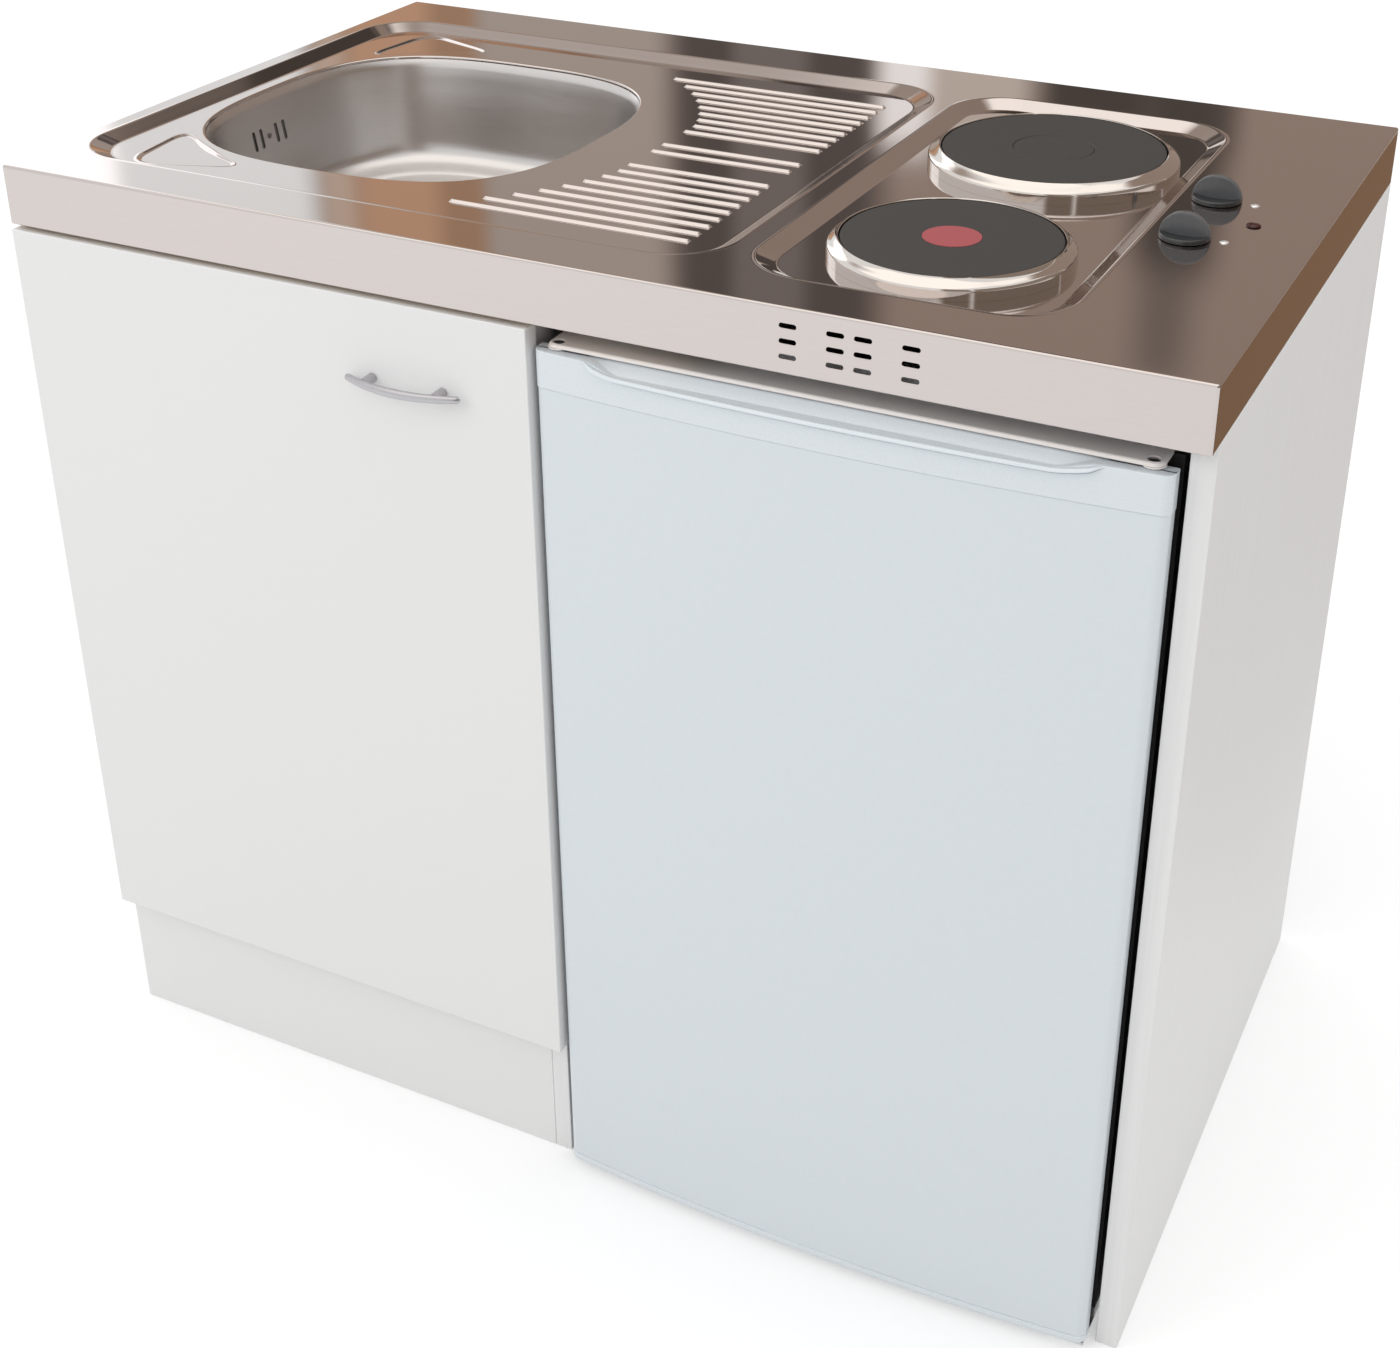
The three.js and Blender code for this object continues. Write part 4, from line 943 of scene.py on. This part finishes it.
def add_overflow_pipe():
    """Housing behind the slots, and a ribbed hose from it down to the waste body."""
    wall = BOWL_X - BOWL_MOUTH
    rings = []
    for inset, behind in HOUSING_SECTION:
        y, z = grown(about(OVERFLOW_Y, 30), -inset), grown(about(OVERFLOW_Z, 16), -inset)
        rings.append(at_x(rounded_rectangle(y, z, 6), wall - behind))
    shell = closed(rings)
    path = curve([
        (wall - 10, OVERFLOW_Y, 812), (wall - 10, OVERFLOW_Y, 780), (wall - 4, OVERFLOW_Y + 3, 745),
        (wall + 28, OVERFLOW_Y + 8, 722), (wall + 80, BOWL_Y, 720), (BOWL_X - CUP - 0.6, BOWL_Y, 720),
    ], 24)
    radii = [HOSE_RADIUS + HOSE_RIB * cos(i * pi / 2) for i in range(len(path))]
    shell.add(swept(path, radii, 24))
    place("overflow_pipe_piece", shell, "waste_plastic", "overflow_pipe", smooth=60)


# ---- hob ----------------------------------------------------------------------------

PLATE_TOP = TOP + 8
MARK_GROOVE = 33.5


def hotplate_profile(radius, plain):
    """Half section of a plate; a plain one has a fine turned line round its middle."""
    low = RECESS_FLOOR + 3
    middle_top = PLATE_TOP - 0.35
    face = [(MARK_GROOVE, middle_top), (MARK_GROOVE + 6, PLATE_TOP)]
    if plain:
        face = [(MARK_GROOVE - 1.2, middle_top), (MARK_GROOVE - 0.5, middle_top - 0.7),
                (MARK_GROOVE + 0.5, PLATE_TOP)]
    return [
        (0, middle_top), *face,
        *moved([(-2, 0), (-0.9, -0.25), (-0.3, -0.8), (0, -1.8)], radius, PLATE_TOP),
        (radius, low), (radius - 8, low), (radius - 8, low - 15), (0, low - 15),
    ]


def ring_profile(ring, disc):
    low = RECESS_FLOOR + 0.05
    outside = moved([
        (0, 0), (0, 1.3), (0, 6.6), (0, 7.4), (-0.12, 8.2), (-0.45, 9.0), (-1.0, 9.7), (-1.9, 10.4),
        (-3.0, 11.1), (-4.2, 11.8), (-6.4, 13.2), (-7.8, 14.2),
    ], ring, low)
    lip = moved([(2.1, 0.35), (1.4, 0.45), (0.8, 0.2), (0.55, -0.5), (0.55, -5)], disc, PLATE_TOP)
    inside = moved([(-4.5, 7), (-1.4, 5), (-1.2, 0)], ring, low)
    return [*[p for p in outside if p[0] > disc + 2.4], *lip, *inside, outside[0]]


def add_hob():
    for plate in ("rear", "front"):
        node, trim = f"{plate}_hotplate", f"{plate}_trim_ring"
        at, disc, _ = upright(node)
        ring = upright(trim)[1]
        shape = turned(hotplate_profile(disc, plate == "rear"), at, 96)
        place(f"{plate}_plate_piece", shape, "cast_iron", node, smooth=25)
        shape = turned(ring_profile(ring, disc), at, 128)
        place(f"{plate}_ring_piece", shape, "ring_steel", trim, smooth=30)

    at, radius, (low, high) = upright("quick_plate_mark")
    mark = [(0, high), (radius - 0.6, high), (radius - 0.1, high - 0.08), (radius, low), (0, low)]
    place("quick_mark_piece", turned(mark, at, 64), "red_enamel", "quick_plate_mark")

    for name in ("front", "rear"):
        add_knob(name)
        refine("zinc_steel", 0.5, f"{name}_plate_clamp")
        refine("switch_plastic", 0.5, f"{name}_switch")
    refine("zinc_steel", 0.4, "hob_tray")
    refine("switch_plastic", 0.9, "terminal_box")
    add_dots()
    add_lamp_lens()


KNOB_SKIRT = 4
KNOB_CLEARANCE = 0.15
KNOB_DISH = 2  # how far the skirt's top is dished towards the fin
FIN_HALF = 2.6
FIN_PROUD = 1.2
FIN_STEPS = 60
# Section of the fin's edge: how far out of its core, and the part of its half thickness.
FIN_EDGE = [(0, 1.06), (1.2, 1.0), (1.6, 0.97), (1.85, 0.88), (1.97, 0.72), (2.0, 0.5)]


def add_knob(name):
    """A dished round skirt with an upright half-round fin across it."""
    node = f"{name}_knob"
    at, radius, z = upright(node)
    foot = TOP + KNOB_CLEARANCE
    rim = foot + KNOB_SKIRT
    shoulder = [(-0.1, -1.5), (-0.45, -0.6), (-1.0, -0.12), (-1.6, 0), (-2.2, -0.12), (-3.2, -0.45)]
    skirt = turned([
        (0, foot), *moved([(-0.9, 0), (-0.2, 0.5), (0, 1.2)], radius, foot), *moved(shoulder, radius, rim),
        (radius * 0.45, rim - KNOB_DISH + 0.45), (0, rim - KNOB_DISH),
    ], at, 72)
    # The skirt gets the darker plastic: painted shade for its dished top.
    place(f"{name}_knob_skirt", skirt, "skirt_plastic_painted_shade", body=node, smooth=40)

    base = rim - KNOB_DISH - 0.6
    crest = z[1] + FIN_PROUD
    core = radius - 2.1
    angles = [pi * i / FIN_STEPS for i in range(FIN_STEPS + 1)]
    rings = []
    for out, part in FIN_EDGE + [(out, -part) for out, part in reversed(FIN_EDGE)]:
        reach = core + out
        height = (crest - base) * reach / (core + FIN_EDGE[-1][0])
        y = at[1] + part * FIN_HALF
        rings.append([(at[0] + reach * cos(a), y, base + height * sin(a)) for a in angles])
    shell = Shell()
    rings = shell.solid(rings, closed=False)
    shell.faces.append(tuple([ring[0] for ring in rings] + [ring[-1] for ring in reversed(rings)]))
    place(f"{name}_knob_piece", shell, "knob_plastic", node, body=node, smooth=40)


DOT_RADIUS = 3.6
DOT_AT = {"front": (937, 255), "rear": (938, 345)}


def add_dots():
    r = DOT_RADIUS
    dome = moved([(0, -1), (r, -1), (r, 0.15), (r * 0.8, 0.8), (r * 0.4, 1.15), (0, 1.25)], up=TOP)
    for name, at in DOT_AT.items():
        place(f"{name}_index_dot", turned(dome, at, 24), "bright_dot", smooth=60)


def add_lamp_lens():
    at, r, (_, high) = upright("pilot_lamp")
    lens = [
        *moved([(0, -8), (3.5, -8), (3.5, 0.3)], up=TOP),
        *moved([(0, 0.3), (0, 0.8), (-0.4, 1.2), (-1.0, 1.3), (-1.2, 1.1)], r, TOP),
        (r - 1.6, high - 0.7), (r - 3.2, high - 0.15), (0, high),
    ]
    place("pilot_lamp_piece", turned(lens, at, 36), "lamp_plastic", "pilot_lamp", smooth=50)


# ---- cabinet ------------------------------------------------------------------------


def add_cabinet():
    refine("panel_board", 0.7, "left_side_panel", "right_side_panel", "partition_panel")
    refine("white_board", 0.7, "plinth", "bottom_panel", "front_rail", "rear_rail", "niche_rail")
    refine("white_board", 0.8, "cabinet_door", body="cabinet_door")
    refine("raw_timber", 0.8, "batten_front", "batten_rear")
    refine("zinc_steel", 0.3, "lower_hinge_cup", "upper_hinge_cup", body="cabinet_door")
    refine("zinc_steel", 0.4, "lower_hinge_arm", "upper_hinge_arm", "bottom_hinge")
    add_handle()


HANDLE_SPACING = 64
HANDLE_SAGITTA = 12
HANDLE_LENGTH = 104
HANDLE_TIP = 0.055  # share of the half length over which the bar rounds off
HANDLE_STEPS, HANDLE_SIDES = 56, 24
BAR_RADIUS = 3.65
POST_RADIUS = 4.2


def add_handle():
    """A bow that thins towards its round ends, on two flared posts."""
    x, (crest, door_face), z = extent("door_handle")
    centre, level, thick = middle(x), middle(z), size(z) / 2
    half = HANDLE_LENGTH / 2

    def bow(u):
        return crest + BAR_RADIUS + HANDLE_SAGITTA * u * u

    rings = []
    for i in range(HANDLE_STEPS + 1):
        u = -1 + 2 * i / HANDLE_STEPS
        end = min(1, (1 - abs(u)) / HANDLE_TIP)
        taper = mix(1.0, 0.74, abs(u) ** 1.6) * sqrt(max(1 - (1 - end) ** 2, 0.0004))
        slope = atan2(2 * HANDLE_SAGITTA * u, half)
        ring = []
        for k in range(HANDLE_SIDES):
            angle = 2 * pi * k / HANDLE_SIDES
            across = BAR_RADIUS * taper * cos(angle)
            up = BAR_RADIUS * 1.02 * taper * sin(angle)
            aside = centre + u * half - across * sin(slope)
            ring.append((aside, bow(u) + across * cos(slope), level + up))
        rings.append(ring)
    shell = closed(rings)

    for side in (-1, 1):
        u = side * HANDLE_SPACING / HANDLE_LENGTH
        start = bow(u) + 1.0
        stations = moved([(0, 0.5), (-0.8, 0.45), (-1.6, 0)], door_face, POST_RADIUS)
        stations += moved([(3, -0.3), (0, -0.6)], start, POST_RADIUS)
        rings = []
        for at, r in stations:
            section = circle((0, 0), min(r, thick), 28)
            rings.append([(centre + u * half + a, at, level + b) for a, b in section])
        shell.solid(rings)
    place("door_handle_piece", shell, "handle_metal", "door_handle", "cabinet_door", smooth=50)


# ---- fridge door --------------------------------------------------------------------

LEAF_X, (_, LEAF_BACK), LEAF_Z = extent("fridge_door_skin")
LEAF_CORNER_Y = 2
LEAF_BOW = 10.5
LEAF_RADIUS = 8
CAP_PROUD = 0.5
CAP_TOP = 800
GRIP_X = (541, 930)
GRIP_RAMPS = (30, 38)
GRIP_DROP = 6.4
GRIP_FRONT, GRIP_BACK = -1, 9
BEAD_RADIUS = 2.6
BEAD_PROUD = 4.6
BEAD_FLARE = 2.0  # height below the bead over which the front swings out to it
# Share of the way up to the bead, and how far the front stands out there: first a narrow groove.
BEAD_UNDERSIDE = [(0.08, -1.6), (0.35, -1.7), (0.6, -0.9), (0.8, 1.2), (0.92, 3.2)]


def leaf_front(x, proud=0.0):
    """y of the bowed door's front at x, with its round front corners."""
    left, right = grown(LEAF_X, proud)
    centre, half = middle(LEAF_X), size(LEAF_X) / 2
    inner = min(max(x, left + LEAF_RADIUS), right - LEAF_RADIUS)
    bowed = LEAF_CORNER_Y - LEAF_BOW * (1 - ((inner - centre) / half) ** 2) - proud
    t = min(abs(x - inner) / LEAF_RADIUS, 1)
    return bowed + LEAF_RADIUS * (1 - sqrt(1 - t * t))


def leaf_stations(proud=0.0, spans=72):
    """x positions across the door, close together round its corners."""
    left, right = grown(LEAF_X, proud)
    corner = [LEAF_RADIUS * (1 - cos(radians(a))) for a in range(0, 91, 9)]
    inner = (left + LEAF_RADIUS, right - LEAF_RADIUS)
    flat = [mix(inner[0], inner[1], i / spans) for i in range(1, spans)]
    return [left + c for c in corner] + flat + [right - c for c in reversed(corner)]


def leaf_edge(xs, inset, proud=0.0):
    """Plan of the door's front at some x positions, drawn inset towards its middle."""
    centre, half = middle(LEAF_X), size(LEAF_X) / 2 + proud
    squeeze = (half - inset) / half
    return [(centre + (x - centre) * squeeze, leaf_front(x, proud) + inset) for x in xs]


def channel(inset, thickness=1.0):
    """Plan of the folded skin: its outside from left to right, then its inside back again."""
    left, right = LEAF_X
    xs = leaf_stations()
    outside = [(left + inset, LEAF_BACK), *leaf_edge(xs, inset), (right - inset, LEAF_BACK)]
    inside = leaf_edge(reversed(xs), thickness)
    return [*outside, (right - thickness, LEAF_BACK), *inside, (left + thickness, LEAF_BACK)]


def add_door_skin():
    low, high = LEAF_Z
    levels = [(0.4, low), (0.1, low + 0.1), (0, low + 0.4), (0, high - 0.4), (0.1, high - 0.1), (0.4, high)]
    shell = layered([(channel(inset), height) for inset, height in levels])
    place("door_skin_piece", shell, "door_white", "fridge_door_skin", "fridge_door", smooth=50)


def grip_dip(x):
    """How far the grip has dipped at x: 0 at both ends and 1 between its two ramps."""
    rises = [(x - GRIP_X[0]) / GRIP_RAMPS[0], (GRIP_X[1] - x) / GRIP_RAMPS[1]]
    return min(sin(pi / 2 * min(max(rise, 0), 1)) for rise in rises)


def cap_section(x, bottom):
    """Section of the top cap at x: up its front, over the bead, up the slope and down its back."""
    front = leaf_front(x, CAP_PROUD)
    back = LEAF_BACK
    dip = grip_dip(x)
    bead = smoothstep(-3, 9, min(x - GRIP_X[0], GRIP_X[1] - x))
    r = mix(1.0, BEAD_RADIUS, bead)
    y = front + mix(r, r - BEAD_PROUD, bead)
    z = CAP_TOP - GRIP_DROP * dip + 0.3 * bead - r

    points = [(back, bottom + 0.4), (back - 0.3, bottom), (front + 0.3, bottom), (front + 0.06, bottom + 0.1)]
    flare = BEAD_FLARE * bead
    points += [(front, mix(bottom + 0.7, z - flare - 0.8, t)) for t in (0, 0.5, 0.96, 1)]
    points += [(front - out * bead, z - (flare + 0.8) * (1 - t)) for t, out in BEAD_UNDERSIDE]
    angles = [radians(a) for a in range(0, 151, 15)]
    points += [(y - r * cos(a), z + r * sin(a)) for a in angles]

    depth = GRIP_DROP + 0.6
    floor = CAP_TOP - depth * dip
    slope = (CAP_TOP - floor) / depth
    start = max(mix(GRIP_BACK, GRIP_FRONT, slope), y + r + 1)
    behind = [
        (y + r * 0.98, floor - 0.3), (start - 0.4, floor - 0.1), (start + 0.6, floor + 0.35),
        (GRIP_BACK - 0.8, CAP_TOP - 0.5),
    ]
    behind = [(at, mix(CAP_TOP, up, dip)) for at, up in behind]
    behind += [(GRIP_BACK + 0.5, CAP_TOP - 0.04), (GRIP_BACK + 2, CAP_TOP)]
    points += [(min(at, back - 1), up) for at, up in behind]
    return points + [(back - 0.5, CAP_TOP), (back, CAP_TOP - 0.5)]


def add_top_cap():
    bottom = extent("fridge_door_top_cap")[2][0]
    ramps = {GRIP_X[0] - 4 + i * 1.5 for i in range(24)} | {GRIP_X[1] + 4 - i * 1.5 for i in range(30)}
    stations = sorted(set(leaf_stations(CAP_PROUD, 60)) | ramps)
    shell = closed([at_x(cap_section(x, bottom), x) for x in stations])
    place("top_cap_piece", shell, "cap_white", "fridge_door_top_cap", "fridge_door", smooth=50)


def add_bottom_cap():
    low, high = extent("fridge_door_bottom_cap")[2]
    left, right = grown(LEAF_X, CAP_PROUD)
    xs = leaf_stations(CAP_PROUD)
    levels = moved([(2.4, 0), (1.2, 0.3), (0.4, 1.1), (0, 2.4)], up=low)
    levels += moved([(0, -0.9), (0.3, -0.2), (1.0, 0)], up=high)
    outlines = []
    for inset, height in levels:
        front = leaf_edge(xs, inset, CAP_PROUD)
        outlines.append(([(left + inset, LEAF_BACK), *front, (right - inset, LEAF_BACK)], height))
    shell = layered(outlines)
    place("bottom_cap_piece", shell, "cap_white", "fridge_door_bottom_cap", "fridge_door", smooth=50)


# ---- fridge body --------------------------------------------------------------------

TRAVERSE_X = (504, 968)
TRAVERSE_CORNER = 8
HINGE_INSET = 8
HINGE_X = grown(TRAVERSE_X, -HINGE_INSET)
HINGE_Y = 13
HINGE_HOLE = 4.85
TRAVERSE_SHEET = 1.4
# Inset and drop of the traverse's rolled front edge, from its top to its underside.
TRAVERSE_EDGE = [
    (2.6, 0), (1.8, 0.12), (1.0, 0.5), (0.45, 1.05), (0.1, 1.8), (0, 2.6), (0.15, 3.0), (0.7, 3.1),
    (1.3, 2.7), (1.3, 1.5),
]
TAB_RADIUS = 8.4
TAB_DROP = 4.2
HOLE_SHADE_FOOT = 4
# Black discs sunk in the two hinge holes are painted shade, standing for the dark inside of the holes.
HOLE_SHADES = {"left_hole_shade": (HINGE_X[0], 1.1), "right_hole_shade": (HINGE_X[1], 2.2)}  # x, and how far sunk


def add_traverse():
    """The cover strip with a tab under each of its two holes and the hinge pin in the right one."""
    _, y, (pin_foot, top) = extent("hinge_traverse")
    shell = Shell()
    outlines = []
    for inset, drop in TRAVERSE_EDGE:
        plan = rounded_rectangle(grown(TRAVERSE_X, -inset), grown(y, -inset), TRAVERSE_CORNER - inset, 10)
        outlines.append(at_height(plan, top - drop))
    rings = shell.stack(outlines)
    holes = []
    for x in HINGE_X:
        section = [(HINGE_HOLE, top), (HINGE_HOLE, top - TRAVERSE_SHEET)]
        holes.append(shell.stack(round_rings(section, (x, HINGE_Y), 40)))
    shell.fill(rings[0], *[upper for upper, _ in holes])
    shell.fill(rings[-1], *[lower for _, lower in holes])
    rim = moved([(-0.5, 0), (0, 0.4), (0, 1.1), (-0.5, 1.5)], TAB_RADIUS, top - TAB_DROP)
    bore = moved([(HINGE_HOLE, 0), (HINGE_HOLE, 1.5)], up=top - TAB_DROP)
    for x in HINGE_X:
        shell.add(turned([bore[0], *rim, bore[1], bore[0]], (x, HINGE_Y), 40))
    pin = [(0, pin_foot), (2.6, pin_foot), (3, pin_foot + 0.4), (3, top - HOLE_SHADE_FOOT), (0, top - HOLE_SHADE_FOOT)]
    shell.add(turned(pin, (HINGE_X[1], HINGE_Y), 24))
    place("traverse_piece", shell, "traverse_steel", "hinge_traverse", smooth=50)
    for name, (x, sunk) in HOLE_SHADES.items():
        add_hole_shade(name, (x, HINGE_Y), top - sunk, top - HOLE_SHADE_FOOT)


# A black disc down in a hinge hole, painted shade of the hole's inside.
def add_hole_shade(name, at, top, foot):
    r = HINGE_HOLE - 0.1
    shade_disc = [(0, top), (HINGE_HOLE - 0.5, top), (r, top - 0.3), (r, foot), (0, foot)]
    place(name, turned(shade_disc, at, 32), "black_paint")


TUBE_RADIUS = 2.5
TUBE_RUNS = 6
TUBE_PITCH = 92
TUBE_BEND = 8  # between the end of a run and its turn
WIRE_RADIUS = 0.8
WIRES = 33
STRIPS_X = (644, 836)


def add_condenser():
    """A level serpentine of tube with upright wires across it, on two strips."""
    x, (front, back), (low, high) = extent("condenser")
    r = TUBE_RADIUS
    at = back - r
    first = high - r - TUBE_PITCH * (TUBE_RUNS - 1)
    ends = grown(x, -TUBE_BEND)
    path = []
    for i in range(TUBE_RUNS):
        near, far = ends if i % 2 else ends[::-1]
        z = first + i * TUBE_PITCH
        path += [(near, at, z), (mix(near, far, 0.5), at, z), (far, at, z)]
        if i < TUBE_RUNS - 1:
            out = x[1] - r if far > near else x[0] + r
            path += [(out, at, z + up) for up in (TUBE_BEND, TUBE_PITCH / 2, TUBE_PITCH - TUBE_BEND)]
    path = curve(path, 6)
    shell = swept(path, [r] * len(path), 12)
    for i in range(WIRES):
        across = mix(ends[0] + 6, ends[1] - 6, i / (WIRES - 1))
        shell.add(swept([(across, at - r, low), (across, at - r, high)], (WIRE_RADIUS, WIRE_RADIUS), 6))
    for across in STRIPS_X:
        strip = rounded_rectangle(about(across, 4), (front, at - r), 0.8, 3)
        shell.add(layered([(strip, low), (strip, high - 22)]))
    place("condenser_piece", shell, "black_paint", "condenser", smooth=50)


def add_compressor():
    """A welded steel can on a pressed plate with rubber feet."""
    at, half, (low, high) = upright("compressor")
    plate = low + 16
    can = [
        (0, 3), (62, 3), (72, 10), (78.5, 22), (81.2, 36), (81.6, 52), (82, 53.5), (82.8, 54.5), (82.8, 58.5),
        (82, 59.5), (81.6, 61), (80.6, 74), (77, 92), (70.5, 108), (61, 120.5), (48, 129.5), (32, 136),
    ]
    shell = turned([*moved(can, up=plate), (15, high - 0.7), (0, high)], at, 72)
    levels = []
    for inset, up in ((1.2, 0), (0.3, 0.3), (0, 1.2), (0, 3.3), (0.3, 4.2), (1.2, 4.5)):
        box = rounded_rectangle(grown(about(at[0], half), -inset), about(at[1], 45 - inset), 14)
        levels.append((box, plate + up))
    shell.add(layered(levels))
    foot = [
        *moved([(0, 0), (8.2, 0), (9, 0.8), (9, 4.5), (7.4, 6), (7.4, 9.5), (9, 11)], up=low),
        (9, plate - 0.4), (0, plate - 0.4),
    ]
    for side in (-1, 1):
        for end in (-1, 1):
            shell.add(turned(foot, (at[0] + side * 84, at[1] + end * 34), 28))
    place("compressor_piece", shell, "black_paint", "compressor", smooth=40)


def add_fridge_feet():
    for node in ("left_fridge_foot", "right_fridge_foot"):
        at, r, (low, high) = upright(node)
        profile = [
            (0, low), *moved([(-0.8, 0), (0, 0.8), (0, 4.4), (-0.6, 5.2), (-3, 7.6), (-4, 8)], r, low),
            (5.2, low + 8), *thread(low + 8.8, 9, 1.4, [(4.5, 0), (5, 0.5), (5, 0.7), (4.5, 1.2)]),
            (5, high), (0, high),
        ]
        place(f"{node}_piece", turned(profile, at, 40), "foot_plastic", node, smooth=40)


def add_thermostat_knob():
    node = "thermostat_knob"
    x, (front, back), z = extent(node)
    at = (middle(x), middle(z))
    r = size(x) / 2
    rim = [(-0.6, 0), (0, -0.8), (0, -4), (-1.2, -6), (-1.8, -10.5), (-2.8, -11.7), (-4, -12)]
    shell = turned_along_y([(0, back), *moved(rim, r, back), (0, back - 12)], at)
    pointer = rounded_rectangle(about(at[0], 2), about(at[1], r - 1.4), 1.6, 5)
    rings = [[(a, y, b) for a, b in pointer] for y in (back - 11, front + 0.6)]
    rings.append([(mix(a, at[0], 0.3), front, mix(b, at[1], 0.06)) for a, b in pointer])
    shell.solid(rings)
    place("thermostat_knob_piece", shell, "knob_plastic", node, node, smooth=35)


def add_fridge():
    refine("liner_white", 0.8, "ice_box")
    refine("liner_white", 1.2, "ice_box_flap", body="ice_box_flap")
    refine("liner_white", 3, "thermostat_box")
    add_thermostat_knob()
    refine("shelf_glass", 0.8, "upper_shelf", "lower_shelf")
    refine("clear_plastic", 0.8, "crisper")
    add_fridge_feet()
    add_condenser()
    add_compressor()
    add_traverse()
    add_door_skin()
    add_top_cap()
    add_bottom_cap()
    refine("liner_white", 1.2, "fridge_door_liner", body="fridge_door")
    refine("seal_rubber", 2.0, "fridge_door_seal", body="fridge_door")
    refine("clear_plastic", 0.8, "lower_door_rack", "upper_door_rack", body="fridge_door")
    # Painted shade: the casing is black all over so that the narrow gap beside the door reads dark.
    refine("black_paint", 0.3, "fridge_casing")
    refine("liner_white", 0.6, "fridge_liner")


# ---- everything ---------------------------------------------------------------------

bpy.context.scene.view_settings.view_transform = "Standard"
add_camera()
add_world()
add_floor()
add_lamps()
add_cards()
add_worktop()
add_bowl()
add_overflow_trim()
add_waste_body()
add_strainer()
add_trap()
add_overflow_pipe()
add_hob()
add_cabinet()
add_fridge()

bpy.context.view_layer.update()
